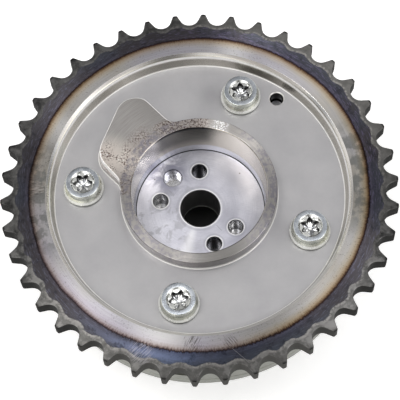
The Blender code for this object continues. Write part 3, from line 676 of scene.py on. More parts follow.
class Graph(Nodes):
    """The nodes of one material.

    where is the object's coordinates; x, y, z and radius are in millimetres, angle is in radians, and up is
    how far the surface faces up, from -1 to 1, in the piece's own frame.
    """

    def __init__(self, name):
        self.material = bpy.data.materials.new(name)
        self.material.use_nodes = True
        super().__init__(self.material.node_tree)
        self.shader = self.tree.nodes["Principled BSDF"]
        coordinates = self.node("TexCoord").outputs
        self.where = coordinates["Object"]
        self.x, self.y, self.z = (self.all_of(part, 1 / MM) for part in self.parts(self.where))
        self.radius = self.length(self.x, self.y)
        self.angle = self.math("ARCTAN2", self.y, self.x)
        self.up = self.parts(coordinates["Normal"])[2]

    def zone(self, *masks, **spans):
        """The product of masks, and of bands of the coordinates that are named."""
        return self.all_of(*masks, *(self.band(getattr(self, name), *span) for name, span in spans.items()))

    def reach(self, x, y):
        """Distance in plan from a point."""
        return self.length(self.math("SUBTRACT", self.x, x), self.math("SUBTRACT", self.y, y))

    def turning(self, across, around):
        """A vector for noise drawn out along the marks of turning."""
        spoke = (self.all_of(self.math("DIVIDE", v, self.radius), around) for v in (self.x, self.y))
        return self.joined(*spoke, self.all_of(self.radius, across))

    def line(self, ends, width):
        """A thin mark between two points of the plan."""
        x0, y0, x1, y1 = ends
        length = math.hypot(x1 - x0, y1 - y0)
        c, s = (x1 - x0) / length, (y1 - y0) / length
        along = self.math("MULTIPLY_ADD", self.x, c, self.math("MULTIPLY_ADD", self.y, s, -(x0 * c + y0 * s)))
        across = self.math("MULTIPLY_ADD", self.x, -s, self.math("MULTIPLY_ADD", self.y, c, x0 * s - y0 * c))
        return self.all_of(self.hump(across, 0.0, width), self.band(along, 0.0, LINE_END),
                           self.band(along, length, length - LINE_END))

    def scuff(self, spot):
        """Fine parallel scratches round a point: (x, y, reach, direction in degrees)."""
        x, y, reach, degrees = spot
        c, s = polar(1.0, degrees)
        along = self.math("MULTIPLY_ADD", self.x, c, self.all_of(self.y, s))
        across = self.math("MULTIPLY_ADD", self.y, c, self.all_of(self.x, -s))
        grain = self.noise(self.joined(across, self.all_of(along, 0.07)), 4.5, 2.0)
        return self.all_of(self.band(grain, 0.49, 0.57), self.band(self.reach(x, y), reach, reach * 0.4))

    def painted_sectors(self, colour, spots):
        """A colour with painted highlight and shade round the axis, by spots of (middle, half, amount)."""
        total = 1.0
        for middle, half, amount in spots:
            total = self.math("MULTIPLY_ADD", self.hump(self.angle, middle, half), amount, total)
        return self.mix(1.0, colour, total, "MULTIPLY")

    def surface(self, looks):
        for name, value in looks.items():
            self.put(self.shader.inputs[name], value)

    def tangent(self, amount):
        """Reflections drawn out across the marks of turning, by an amount from 0 to 1."""
        radial = self.node("Tangent", direction_type="RADIAL", axis="Z").outputs[0]
        self.surface({"Tangent": radial, "Anisotropic Rotation": 0.25, "Anisotropic": amount})

    def bump(self, height, distance, strength):
        inputs = {"Height": height, "Distance": distance, "Strength": strength}
        self.surface({"Normal": self.node("Bump", inputs.items()).outputs[0]})

    def finish(self, colour, roughness, metallic=1.0):
        self.surface({"Base Color": colour, "Roughness": roughness, "Metallic": metallic})
        return self.material


# Scratches (x, y, x, y) and scuffs (x, y, reach, direction in degrees) on the plate, and marks on the rotor
LONG_SCRATCHES = ((5.4, -46.4, 10.2, -51.3), (3.5, -42.8, 5.9, -46.8), (4.8, -43.5, 7.0, -46.9))
DARK_SCUFFS = ((-4.6, -44.6, 3.4, 60.0), (5.4, -45.0, 2.4, -52.0), (-45.6, 3.6, 3.4, 3.0))
BRIGHT_SCUFFS = ((-18.5, -45.8, 4.2, 42.0),)
SCRIBED_LINES = ((4.1, -5.4, 5.7, -7.4), (-8.9, 6.5, -7.6, 5.2))
SPECKS = ((12.0, 10.0), (-12.5, 10.0))
LINE_END = 0.4

# Painted dark reflections of the screws on the disc, and sectors of painted highlight and shade as (middle,
# half, amount)
SCREW_REFLECTION_SPOTS = ((5.5, 30.5), (21.5, -12.5))
RIM_HIGHLIGHT_SECTORS = ((-1.88, 0.26, 0.6), (1.28, 0.18, 0.5), (2.62, 0.18, 0.5), (-0.42, 0.26, 0.4))
BOSS_PAINTED_LIGHT = ((0.65, 0.35, 0.3), (1.3, 0.3, 0.5), (2.7, 0.32, 0.8), (-1.85, 0.3, 0.5))
RING_PAINTED_LIGHT = ((1.2, 0.3, 1.3), (2.5, 0.35, 1.0), (-1.9, 0.3, 0.5), (-0.45, 0.32, 1.2))
LIP_PAINTED_LIGHT = ((0.56, 0.36, 0.7), (1.22, 0.3, -0.5), (2.14, 0.3, -0.5), (2.87, 0.32, 0.8),
              (-0.14, 0.38, -0.6), (-1.98, 0.36, 0.5), (-2.75, 0.35, -0.3), (-1.17, 0.33, -0.3))
SLOPE_PAINTED_LIGHT = ((2.75, 0.32, 0.55), (0.1, 0.35, -0.15), (-0.85, 0.3, 0.25), (-2.0, 0.4, 0.2))


def tint_radius(g):
    """The radius with a wavering, feathered edge, more ragged at the front."""
    wander = g.noise(g.where, 60.0, 2.0)
    feather = g.noise(g.turning(0.3, 40.0), 3.0, 3.0)
    ragged = g.blend(g.band(g.y, -34.0, -44.0), 0.6, 1.5)
    wavering = g.math("MULTIPLY_ADD", wander, 1.2, g.math("SUBTRACT", g.radius, 0.6))
    return g.math("MULTIPLY_ADD", g.math("SUBTRACT", feather, 0.5), ragged, wavering)


def disc_colour(g, fine):
    """The matte disc, painted lighter towards the back, with painted dark reflections of the screws."""
    cloud = g.noise(g.where, 110.0, 4.0)
    colour = g.ramp(cloud, [(0.3, (0.42, 0.415, 0.43)), (0.7, (0.48, 0.475, 0.485))])
    colour = g.mix(g.all_of(fine, 0.15), colour, (0.3, 0.295, 0.3))
    # Painted light: the disc is made darker at the front and lighter at the back
    light = g.ramp(g.y, [(-40.0, (0.9, 0.9, 0.9)), (40.0, (1.1, 1.1, 1.1))])
    colour = g.mix(1.0, colour, light, "MULTIPLY")
    # Painted dark reflections of the screws, in soft patches beside them
    screw_reflections = g.any_of(*(g.band(g.reach(*spot), 6.5, 0.5) for spot in SCREW_REFLECTION_SPOTS))
    return g.mix(g.all_of(screw_reflections, 0.35), colour, (0.24, 0.235, 0.25))


def boss_colour(g, rings, mottle, speckle, shaded_sector):
    """The turned top of the boss and pad, with pits of oxide where they meet, painted glints on specks,
    painted shade in a sector at the front right and sectors of painted highlight.
    """
    pitted = g.any_of(g.band(g.reach(-26.0, 10.5), 8.0, 2.5),
                      g.zone(0.9, angle=(2.1, 2.3), radius=(27.0, 22.5)),
                      g.zone(g.band(g.angle, 2.2, 2.0), angle=(1.3, 1.45), radius=(24.0, 22.5)))
    thicker = g.math("MULTIPLY_ADD", g.band(g.y, 15.0, 19.0), 0.12, mottle)
    pits = g.all_of(pitted, g.band(thicker, 0.4, 0.58))
    # Painted glints: white specks in a narrow sector at the boss's edge
    painted_sparkles = g.zone(g.hump(g.angle, 1.2, 0.16), g.band(speckle, 0.52, 0.46), radius=(22.5, 21.5))
    colour = g.coats(
        g.ramp(rings, [(0.3, (0.31, 0.295, 0.285)), (0.7, (0.42, 0.405, 0.39))]),
        (g.all_of(g.band(g.reach(-23.0, 12.0), 8.0, 3.0), 0.35), (0.66, 0.61, 0.54)),
        (shaded_sector, (0.23, 0.225, 0.215)),
        (g.all_of(pitted, 0.4), (0.46, 0.39, 0.355)),
        (g.all_of(pits, g.band(speckle, 0.51, 0.57)), (0.09, 0.06, 0.05)),
        (g.all_of(pits, g.band(speckle, 0.42, 0.36), 0.7), (0.72, 0.68, 0.64)),
        (painted_sparkles, (0.95, 0.95, 1.0)))
    blotches = g.band(g.noise(g.where, 800.0, 3.0, 0.6), 0.42, 0.62)
    sides = g.any_of(g.band(g.x, 4.0, -16.0), g.band(g.x, 8.0, 18.0))
    violet = g.zone(blotches, sides, 0.7, radius=(22.3, 21.8))
    return g.mix(violet, g.painted_sectors(colour, BOSS_PAINTED_LIGHT), (0.22, 0.21, 0.26))


def rim_colour(g, tint, rings, broad, speckle, shaded_sector):
    """The turned rim, which the heat tints straw and brown towards the ring, with painted highlights in
    sectors and painted shade in a sector at the front right.
    """
    metal = g.ramp(rings, [(0.3, (0.355, 0.35, 0.353)), (0.7, (0.47, 0.463, 0.468))])
    diagonal = g.math("COSINE", g.math("MULTIPLY_ADD", g.angle, 2.0, -2.0))
    hue = g.ramp(g.math("MULTIPLY_ADD", diagonal, 0.14, broad),
                 [(0.36, (1.0, 0.95, 0.84)), (0.5, (1.0, 0.985, 0.96)), (0.64, (0.98, 0.965, 1.05))])
    dull = g.all_of(g.band(g.noise(g.where, 300.0, 4.0, 0.6), 0.43, 0.57), 0.8,
                    g.band(g.math("ABSOLUTE", g.x), 34.0, 41.0), g.band(g.math("ABSOLUTE", g.y), 20.0, 10.0))
    # Painted highlights in sectors round the axis
    painted_flash = g.any_of(*(g.all_of(g.hump(g.angle, middle, half), part) for middle, half, part in RIM_HIGHLIGHT_SECTORS))
    flecks = g.all_of(g.band(speckle, 0.6, 0.66), g.band(broad, 0.4, 0.52), 0.55)
    colour = g.coats(g.mix(1.0, metal, hue, "MULTIPLY"), (dull, (0.19, 0.195, 0.19)),
                     (shaded_sector, (0.21, 0.205, 0.195)), (painted_flash, (0.88, 0.87, 0.87)), (flecks, (0.13, 0.12, 0.1)))
    straw = g.ramp(tint, [(44.4, (1.0, 1.0, 1.0)), (45.4, (1.0, 0.94, 0.82)), (46.2, (0.86, 0.71, 0.52)),
                          (46.7, (0.45, 0.31, 0.19)), (47.05, (0.12, 0.07, 0.055)),
                          (47.4, (0.04, 0.03, 0.035))])
    faint = g.ramp(tint, [(43.8, (1.0, 1.0, 1.0)), (45.3, (0.96, 0.93, 0.96)), (46.3, (0.72, 0.65, 0.63)),
                          (46.8, (0.36, 0.28, 0.26)), (47.1, (0.11, 0.08, 0.08)),
                          (47.4, (0.04, 0.035, 0.04))])
    heat = g.mix(g.band(g.math("ADD", g.x, g.y), -15.0, -50.0), straw, faint)
    return g.mix(1.0, colour, heat, "MULTIPLY")


def ring_colour(g, tint, broad, mottle, shaded_sector):
    """The hardened ring: blue-black oxide with brown parts, under a painted highlight at the front, streaks
    of painted glint and sectors of painted highlight.
    """
    # Streaks along the turning, painted as glints, lighter towards the upper right
    streaks = g.noise(g.turning(1.6, 8.0), 3.0, 4.0, 0.65)
    painted_ring_sheen = g.mix(g.band(g.math("ADD", g.x, g.y), 25.0, 50.0), (0.15, 0.15, 0.19), (0.2, 0.17, 0.27))
    colour = g.coats(
        g.ramp(tint, [(47.4, (0.02, 0.016, 0.02)), (47.8, (0.075, 0.07, 0.085)),
                      (48.6, (0.05, 0.05, 0.058)), (50.2, (0.06, 0.062, 0.066))]),
        (g.all_of(g.band(broad, 0.46, 0.56), 0.55), (0.058, 0.048, 0.042)),
        # A painted highlight at the front, then the painted glint streaks
        (g.all_of(g.hump(g.angle, -1.95, 0.6), g.hump(tint, 49.2, 2.0), 0.85), (0.15, 0.155, 0.19)),
        (g.all_of(g.band(streaks, 0.5, 0.7), g.blend(shaded_sector, 0.55, 0.0)), painted_ring_sheen),
        (g.all_of(g.band(mottle, 0.52, 0.68), 0.6), (0.025, 0.025, 0.028)))
    blue = g.mix(g.hump(g.angle, -1.7, 0.75), (0.98, 1.0, 1.12), (0.88, 1.04, 1.36))
    return g.mix(1.0, g.painted_sectors(colour, RING_PAINTED_LIGHT), blue, "MULTIPLY")


def tooth_colour(g, toothed, mottle):
    """Mottled grey teeth, painted lighter at the upper right and the front, worn at the roots, more so where
    painted lighter, and dark at the tips.
    """
    # Painted light at the upper right and the front
    lit = g.any_of(g.band(g.math("ADD", g.x, g.y), 40.0, 62.0), g.band(g.y, -14.0, -36.0))
    grain = g.band(g.noise(g.where, 1300.0, 3.0), 0.36, 0.6)
    return g.coats(
        g.ramp(mottle, [(0.34, (0.04, 0.04, 0.04)), (0.66, (0.15, 0.148, 0.145))]),
        (g.all_of(lit, 0.35), (0.22, 0.215, 0.205)),
        (g.zone(g.band(mottle, 0.47, 0.6), 0.4, y=(-4.0, -30.0)), (0.27, 0.265, 0.26)),
        (g.all_of(g.hump(toothed, 51.0, 0.7), grain, g.blend(lit, 0.25, 0.9)), (0.3, 0.29, 0.28)),
        (g.zone(0.9, radius=(54.6, 55.3)), (0.015, 0.015, 0.015)))


def scratched(g, colour):
    """A colour of the rim and ring under their scuffs and long scratches."""
    on_ring = g.band(g.radius, 47.0, 47.4)
    dark, bright = (g.any_of(*(g.scuff(spot) for spot in spots)) for spots in (DARK_SCUFFS, BRIGHT_SCUFFS))
    scratches = g.any_of(*(g.line(ends, 0.1) for ends in LONG_SCRATCHES))
    return g.coats(colour, (g.all_of(dark, 0.7), (0.06, 0.05, 0.045)),
                   (g.all_of(bright, on_ring, 0.5), (0.5, 0.48, 0.54)),
                   (g.all_of(scratches, 0.5), g.mix(on_ring, (0.08, 0.07, 0.06), (0.42, 0.41, 0.43))))


def sloped(g, colour, slope, near):
    """A colour with the slope round the disc and the lip line above it, painted light as a highlight; both
    carry sectors of painted highlight and shade. A painted shadow lies on the slope near the upper right;
    near is the slope's front part, painted lighter, with a painted highlight line at its foot.
    """
    lip = g.painted_sectors((0.74, 0.715, 0.68), LIP_PAINTED_LIGHT)
    bank = g.painted_sectors((0.68, 0.655, 0.59), SLOPE_PAINTED_LIGHT)
    # Sectors of painted highlight and shade on the slope and lip line, a painted shadow near the upper right,
    # and the front part painted lighter with a painted highlight line at its foot
    return g.coats(colour, (slope, g.mix(g.band(g.radius, 42.05, 42.3), bank, lip)),
                   (g.all_of(slope, g.hump(g.angle, 1.06, 0.46), 0.85), (0.2, 0.185, 0.17)),
                   (near, g.painted_sectors((0.47, 0.46, 0.44), SLOPE_PAINTED_LIGHT)),
                   (g.zone(near, z=(27.1, 26.8)), (0.92, 0.91, 0.89)))


def bore_colour(g):
    """The bore's wall, with painted light at the left and at its foot, painted shade at the right and at the
    back, and a painted dark line at the top of the wall at the back.
    """
    # The back of the wall, painted in shade
    back = g.zone(g.band(g.angle, 1.2, 1.45), z=(17.5, 24.0), angle=(2.28, 2.08))
    # Painted light at the left and the foot, painted shade at the right and the back, and a painted dark line
    # at the top of the wall at the back
    return g.coats((0.6, 0.56, 0.48), (g.zone(x=(-9.0, -13.0), y=(-14.0, -8.0)), (0.88, 0.84, 0.76)),
                   (g.all_of(g.hump(g.angle, -0.15, 0.55), 0.5), (0.42, 0.39, 0.33)),
                   (back, (0.19, 0.18, 0.155)), (g.zone(back, z=(29.0, 29.9)), (0.03, 0.03, 0.03)),
                   (g.band(g.z, 19.0, 18.8), (0.76, 0.76, 0.78)))


def plate_steel():
    """Matte disc, turned rim and boss, a blue-black hardened ring with its heat tint, and grey teeth."""
    g = Graph("plate_steel")
    fine = g.noise(g.where, 1000.0, 4.0)
    broad = g.noise(g.where, 40.0, 2.0)
    mottle = g.noise(g.where, 420.0, 4.0, 0.65)
    speckle = g.noise(g.where, 2300.0, 3.0, 0.6)
    rings = g.noise(g.turning(2.2, 1.5), 3.0, 3.0)
    # A sector at the front right painted in shade: darker rim and boss, and fewer painted glints on the ring
    shaded_sector = g.all_of(g.hump(g.angle, -1.22, 0.5), 0.55)
    tint = tint_radius(g)
    wave = g.math("COSINE", g.math("MULTIPLY", g.math("SUBTRACT", g.angle, TOOTH_ANGLE), float(TEETH)))
    toothed = g.math("SUBTRACT", g.radius, g.math("MULTIPLY", wave, 0.5))
    toothed = g.math("MULTIPLY_ADD", mottle, 1.4, g.math("SUBTRACT", toothed, 0.7))

    # The disc below, and the faces that lie above it
    rim = rim_colour(g, tint, rings, broad, speckle, shaded_sector)
    outer = g.mix(g.band(tint, 47.3, 47.45), rim, ring_colour(g, tint, broad, mottle, shaded_sector))
    outer = g.mix(g.band(toothed, 50.6, 50.9), outer, tooth_colour(g, toothed, mottle))
    inside = g.band(g.radius, 42.0, 41.8)
    top = g.mix(inside, scratched(g, outer), boss_colour(g, rings, mottle, speckle, shaded_sector))
    face = g.band(g.z, 26.6, 27.2)
    colour = g.mix(face, disc_colour(g, fine), top)

    # Walls of the teeth, painted lighter at the front; neck below them; slope round the disc; and the foot
    # and edge of the boss, painted as highlight lines
    wall = g.zone(radius=(51.2, 51.4), up=(0.8, 0.5))
    # Near-black walls of the teeth, painted lighter at the front
    wall_colour = g.mix(g.band(g.y, -38.0, -48.0), (0.012, 0.012, 0.011), (0.052, 0.051, 0.047))
    neck = g.zone(z=(25.3, 25.1), radius=(44.0, 45.0))
    slope = g.zone(g.band(g.radius, 43.0, 42.7), radius=(40.4, 40.7), up=(0.98, 0.93))
    near = g.zone(slope, y=(-12.0, -30.0))
    # Painted highlight lines at the feet of walls that rise from the disc, and along the boss's top edge
    foot = g.zone(g.band(g.z, 25.5, 25.8), g.band(g.radius, 43.0, 42.0),
                  z=(26.5, 26.2), up=(0.99, 0.95), radius=(21.0, 21.6))
    edge = g.zone(inside, radius=(22.2, 22.6), z=(28.4, 29.2), up=(0.99, 0.9))
    colour = g.coats(colour, (wall, wall_colour), (neck, (0.27, 0.265, 0.255)))
    colour = g.coats(sloped(g, colour, slope, near), (foot, (0.8, 0.79, 0.77)), (edge, (0.98, 0.97, 0.96)))

    # Bore, with its painted light and shade, and the locating hole, painted black inside as shade
    bore = g.zone(radius=(19.4, 19.2), up=(0.9, 0.6))
    to_hole = g.reach(*polar(LOCATING_CIRCLE_R / MM, LOCATING_DEG))
    colour = g.coats(colour, (bore, bore_colour(g)),
                     (g.zone(g.band(to_hole, 2.3, 2.1), z=(25.8, 25.6)), (0.03, 0.03, 0.03)))

    flat = g.band(g.up, 0.85, 0.95)
    on_top = g.all_of(face, flat)
    rough = g.blend(flat, 0.22, 0.44)
    rough = g.blend(on_top, rough, 0.34)
    rough = g.blend(g.all_of(on_top, g.band(tint, 47.2, 47.6)), rough, 0.42)
    rough = g.blend(bore, rough, 0.2)
    rough = g.blend(wall, rough, 0.6)
    g.tangent(g.all_of(g.any_of(on_top, bore, slope), 0.9))
    g.bump(g.math("ADD", g.all_of(fine, 0.6), g.all_of(rings, 0.4)), 0.00004, 0.4)
    g.surface({"Specular IOR Level": g.blend(wall, 0.5, 0.05)})
    dielectric = g.any_of(wall, g.all_of(g.any_of(foot, edge, near), 0.7))
    return g.finish(colour, rough, g.math("SUBTRACT", 1.0, dielectric))


def face_colour(g, grooves, cloud, smudge, dull):
    """The rotor's turned face: brush marks, dull smudges, a painted highlight streak, a dark patch, and
    painted shade at the right and upper right.
    """
    brushed = g.noise(g.joined(g.all_of(g.x, 0.35), g.all_of(g.y, 3.0)), 2.0, 3.0)
    # A painted highlight streak below the centre hole
    painted_streak = g.zone(g.hump(g.angle, -1.93, 0.22), g.band(g.radius, 19.0, 16.0), 0.6, radius=(5.5, 8.0))
    patch = g.all_of(g.band(g.reach(-8.9, 12.0), 9.5, 2.5), g.band(smudge, 0.35, 0.55), 0.85)
    # Painted shade at the lower right, beside the centre hole on the right and at the upper right
    right = g.zone(g.hump(g.angle, -0.8, 0.55), 0.6, radius=(11.0, 14.0))
    shade_beside_hole = g.zone(g.hump(g.angle, -0.35, 0.95), g.band(g.radius, 12.5, 9.5), 0.55, radius=(6.4, 7.2))
    upper = g.zone(g.hump(g.angle, 0.65, 0.58), 0.65, radius=(9.0, 14.0))
    return g.coats(
        g.ramp(cloud, [(0.3, (0.56, 0.56, 0.63)), (0.7, (0.74, 0.74, 0.81))]),
        (g.all_of(g.band(grooves, 0.45, 0.7), 0.4), (0.42, 0.42, 0.51)),
        (g.all_of(g.band(brushed, 0.52, 0.66), 0.25), (0.36, 0.36, 0.42)),
        (g.all_of(dull, 0.55), (0.34, 0.34, 0.37)), (painted_streak, (0.95, 0.95, 0.98)), (patch, (0.27, 0.27, 0.35)),
        (right, (0.34, 0.34, 0.41)), (shade_beside_hole, (0.36, 0.36, 0.42)), (upper, (0.42, 0.42, 0.48)),
        (g.band(g.radius, 18.1, 18.25), (0.03, 0.03, 0.03)))


def turned_metal():
    """The rotor: a bright turned face, with ports painted dark as shade, painted highlights round and in the
    holes, and a dark centre hole.
    """
    g = Graph("rotor_metal")
    grooves = g.noise(g.turning(6.0, 0.8), 3.0, 3.0)
    cloud = g.noise(g.where, 150.0, 3.0)
    smudge = g.noise(g.where, 240.0, 5.0, 0.65, 0.6)
    dull = g.all_of(g.band(smudge, 0.5, 0.62), g.band(g.x, 4.0, -8.0))
    colour = face_colour(g, grooves, cloud, smudge, dull)

    # Painted highlights on the lips and painted shade in soft halos round the holes, then specks and scribed
    # lines
    highlight_lips, shade_halos, wells = [g.hump(g.radius, 5.95, 0.25)], [g.hump(g.radius, 6.6, 0.6)], []
    for turn, depth in PORTS:
        away = g.reach(*polar(PORT_CIRCLE_R / MM, LOCK_DEG + turn))
        highlight_lips.append(g.hump(away, 2.4, 0.25))
        shade_halos.append(g.hump(away, 2.9, 0.4))
        if depth == DEEP_PORT:
            wells.append(g.band(away, 2.9, 2.5))
    specks = g.any_of(*(g.band(g.reach(*spot), 0.35, 0.0) for spot in SPECKS))
    scribed = g.any_of(*(g.line(ends, 0.12) for ends in SCRIBED_LINES))
    colour = g.coats(colour, (g.all_of(g.any_of(*shade_halos), 0.25), (0.22, 0.22, 0.26)),
                     (g.all_of(g.any_of(*highlight_lips), 0.9), (1.0, 1.0, 1.0)),
                     (specks, (0.1, 0.08, 0.08)), (scribed, (0.3, 0.3, 0.33)))

    # Inside the holes: painted shade in the ports and on the dowel hole's walls, painted light in the deep
    # ports' wells, on the dowel hole's floor, at the foot of the centre hole and on the chamfered mouths
    deep = g.zone(z=(16.1, 15.9), radius=(17.5, 17.0))
    lit = g.zone(g.any_of(*wells), g.band(g.z, 5.6, 6.0), z=(10.0, 9.4))
    dowel = g.band(g.reach(*polar(DOWEL_CIRCLE_R / MM, LOCK_DEG)), 3.1, 2.95)
    hole = g.zone(radius=(5.7, 5.55), z=(16.35, 16.2))
    mouth = g.zone(g.band(g.up, 0.3, 0.5), z=(15.9, 16.1), up=(0.95, 0.85))
    colour = g.coats(
        colour, (deep, g.mix(lit, (0.15, 0.15, 0.16), (1.0, 1.0, 1.0))),
        (g.all_of(deep, dowel), g.mix(g.band(g.z, 13.7, 13.5), (0.42, 0.42, 0.46), (0.86, 0.86, 0.9))),
        (hole, g.mix(g.band(g.z, 5.7, 5.55), (0.6, 0.6, 0.61), (1.0, 1.0, 0.98))), (mouth, (1.0, 1.0, 1.0)))

    rough = g.blend(deep, g.blend(cloud, 0.34, 0.42), 0.14)
    rough = g.blend(hole, rough, 0.3)
    g.tangent(g.all_of(g.band(g.z, 16.3, 16.45), 0.4))
    g.bump(grooves, 0.00003, 0.4)
    return g.finish(colour, g.blend(dull, rough, 0.46))


def zinc():
    """Zinc plating: a bluish top painted darker than the greenish sides, a cup painted bright as a highlight,
    a socket painted in mottled shade with black lobes, and a painted highlight round the flange.
    """
    g = Graph("zinc")
    cloud = g.noise(g.where, 420.0, 3.0)
    # The top is painted darker than the sides
    crown = g.ramp(cloud, [(0.3, (0.36, 0.39, 0.43)), (0.7, (0.54, 0.57, 0.61))])
    side = g.ramp(cloud, [(0.3, (0.66, 0.68, 0.61)), (0.7, (0.92, 0.94, 0.86))])
    away = 100.0
    for degrees in SCREW_DEGS:
        away = g.math("MINIMUM", away, g.reach(*polar(SCREW_CIRCLE_R / MM, degrees)))
    cup_z = (SCREW_TOP_Z - CUP_DEPTH) / MM
    # The cup painted bright as a highlight, the socket painted in mottled shade with black lobes, and a
    # painted highlight round the flange
    cup = g.zone(g.band(away, 3.5, 3.3), z=(26.0, 26.4))
    socket = g.zone(cup, z=(cup_z - 0.1, cup_z - 0.4))
    mottled_shade = g.band(g.noise(g.where, 1100.0, 2.0), 0.42, 0.56)
    rim = g.zone(g.band(away, 5.1, 5.35), up=(0.1, 0.4))
    colour = g.coats(
        g.mix(g.band(g.up, 0.75, 0.95), side, crown), (cup, (0.76, 0.77, 0.75)),
        (g.all_of(socket, mottled_shade), (0.4, 0.41, 0.43)),
        (g.all_of(socket, g.band(away, 1.7, 2.2)), (0.06, 0.06, 0.06)), (rim, (0.9, 0.91, 0.88)))
    g.bump(g.noise(g.where, 1800.0, 3.0), 0.00003, 0.4)
    rough = g.blend(cup, g.blend(cloud, 0.22, 0.32), 0.14)
    return g.finish(colour, rough, g.math("SUBTRACT", 1.0, g.all_of(rim, 0.6)))


def plain_metal(name, dark, light, low_rough, high_rough, scale=300.0):
    """A metal with cloudy colour and a fine grain."""
    g = Graph(name)
    cloud = g.noise(g.where, scale, 4.0)
    g.bump(g.noise(g.where, 2200.0, 3.0), 0.00003, 0.5)
    return g.finish(g.ramp(cloud, [(0.3, dark), (0.7, light)]), g.blend(cloud, low_rough, high_rough))


def seal_plastic():
    """A dark filled polymer."""
    g = Graph("seal_plastic")
    grain = g.noise(g.where, 1500.0, 3.0)
    colour = g.ramp(grain, [(0.3, (0.035, 0.035, 0.035)), (0.7, (0.075, 0.072, 0.07))])
    g.bump(grain, 0.00002, 0.5)
    return g.finish(colour, g.blend(grain, 0.45, 0.6), 0.0)


def paint(item, material):
    item.data.materials.clear()
    item.data.materials.append(material)


def make_spring():
    """The lock pin's spring as a piece of its own."""
    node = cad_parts["lock_pin_spring"]
    mesh = node.data.copy()
    mesh.transform(node.matrix_world)
    spring = new_object("pin_spring_wire", mesh)
    shade(spring, FRAME_CREASE, False)
    return spring


def dress(item, nodes, body, material):
    """Give a piece its material and body, and hide the frame nodes that it stands for."""
    paint(item, material)
    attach(item, body)
    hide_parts(*nodes)


# Light, floor and camera

def area(name, place, size, power, colour):
    data = bpy.data.lights.new(name, "AREA")
    data.shape = "RECTANGLE"
    data.size, data.size_y = size
    data.energy = power
    data.color = colour
    lamp = new_object(name, data)
    lamp.location = place
    lamp.rotation_euler = (Vector(LIGHT_AIM) - Vector(place)).to_track_quat("-Z", "Y").to_euler()


def make_world():
    """A light studio for the reflections, bright near the horizon; the camera itself sees white."""
    world = bpy.data.worlds.new("studio")
    bpy.context.scene.world = world
    world.use_nodes = True
    world.node_tree.nodes.clear()
    g = Nodes(world.node_tree)
    x, y, z = g.parts(g.node("TexCoord").outputs["Generated"])
    # Dimmer overhead, and darker at the back
    level = g.all_of(g.spread(z, 0.0, 0.9, 1.2, 0.85), g.spread(y, 0.0, 0.36, 1.0, 0.68))
    # Brighter on four diagonals, as from boxes round a product
    turn = g.math("SUBTRACT", g.math("ARCTAN2", y, x), math.radians(STUDIO_BOX_DEG))
    boxes = g.all_of(g.math("COSINE", g.all_of(turn, 4.0)), g.spread(g.length(x, y), 0.30, 0.60, 0.0, 0.8))
    # Dark round the camera
    facing = g.math("ADD", g.math("MULTIPLY", y, -0.37), g.math("MULTIPLY", z, 0.93))
    level = g.all_of(level, g.math("ADD", boxes, 1.0), g.spread(facing, 0.93, 0.99, 1.0, 0.25))
    lit = g.node("Background", ((0, (1.0, 0.99, 0.98, 1.0)), (1, level)))
    seen = g.node("Background", [(0, (1.0, 1.0, 1.0, 1.0))])
    to_camera = g.node("LightPath").outputs["Is Camera Ray"]
    both = g.node("MixShader", enumerate((to_camera, lit.outputs[0], seen.outputs[0])))
    g.node("OutputWorld", [(0, both.outputs[0])])


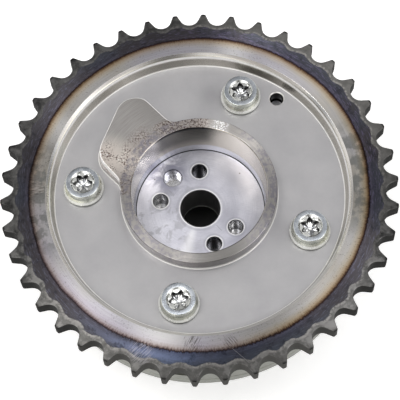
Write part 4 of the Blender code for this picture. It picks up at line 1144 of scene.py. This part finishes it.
def make_floor():
    """A pale floor with a patch painted dark as shade below the centre hole, see-through from underneath."""
    mesh = bpy.data.meshes.new("floor")
    shape = bmesh.new()
    bmesh.ops.create_grid(shape, x_segments=1, y_segments=1, size=FLOOR_HALF)
    shape.to_mesh(mesh)
    shape.free()
    floor = new_object("floor", mesh)
    floor.location.z = -FLOOR_GAP
    g = Graph("floor")
    # A patch painted dark as shade below the centre hole, which also gives no light there
    beyond_shade_patch = g.band(g.radius, 12.0, 14.0)
    path = g.node("LightPath").outputs
    seen = g.any_of(path["Is Camera Ray"], path["Is Glossy Ray"])
    above = g.math("SUBTRACT", 1.0, g.node("NewGeometry").outputs["Backfacing"])
    g.surface({"Alpha": above, "Emission Color": (1.0, 1.0, 1.0, 1.0),
               "Emission Strength": g.all_of(seen, beyond_shade_patch, 0.4)})
    paint(floor, g.finish(g.mix(beyond_shade_patch, (0.02, 0.02, 0.02), (0.94, 0.94, 0.94)), 0.9, 0.0))


def make_camera():
    data = bpy.data.cameras.new("camera")
    data.sensor_width = SENSOR_WIDTH
    data.lens = LENS
    data.clip_start, data.clip_end = 0.01, 10.0
    camera = new_object("camera", data)
    right, up = Vector(CAMERA_RIGHT), Vector(CAMERA_UP)
    place = Matrix((right, up, right.cross(up))).transposed().to_4x4()
    place.translation = Vector(CAMERA_PLACE)
    camera.matrix_world = place
    bpy.context.scene.camera = camera


# Build

steel = plate_steel()
dress(make_plate(), ["sprocket_plate"], "root", steel)
dress(make_rotor(), ["vane_rotor"], "rotor", turned_metal())
zinc_plate = zinc()
for number in range(4):
    dress(make_screw(number), [f"cover_screw_{number + 1}"], "root", zinc_plate)

housing_steel = plain_metal("housing_steel", (0.225, 0.23, 0.205), (0.285, 0.29, 0.26), 0.38, 0.46, 700.0)
cover_steel = plain_metal("cover_steel", (0.245, 0.25, 0.225), (0.305, 0.31, 0.28), 0.38, 0.46, 700.0)
dress(make_housing(), ["housing"], "root", housing_steel)
dress(make_cover(), ["front_cover"], "root", cover_steel)
ground_steel = plain_metal("ground_steel", (0.50, 0.50, 0.52), (0.66, 0.66, 0.68), 0.15, 0.25)
bush_steel = plain_metal("bush_steel", (0.26, 0.26, 0.28), (0.40, 0.40, 0.42), 0.30, 0.42)
spring_steel = plain_metal("spring_steel", (0.34, 0.35, 0.38), (0.50, 0.51, 0.54), 0.25, 0.35)
spring = make_spring()
dress(spring, ["lock_pin_spring"], "rotor", spring_steel)
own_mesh(spring)
seal = seal_plastic()
for node_name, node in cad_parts.items():
    if node.hide_render:
        continue
    shade(node, FRAME_CREASE, False)
    if node_name == "lock_pin":
        paint(node, ground_steel)
    elif "spring" in node_name and node_name != "lock_spring_seat":
        paint(node, spring_steel)
    elif "_seal_" in node_name:
        paint(node, seal)
    else:
        paint(node, bush_steel)

make_world()
make_floor()
for light in LIGHTS:
    area(*light)
make_camera()
bpy.context.scene.view_settings.view_transform = "Standard"
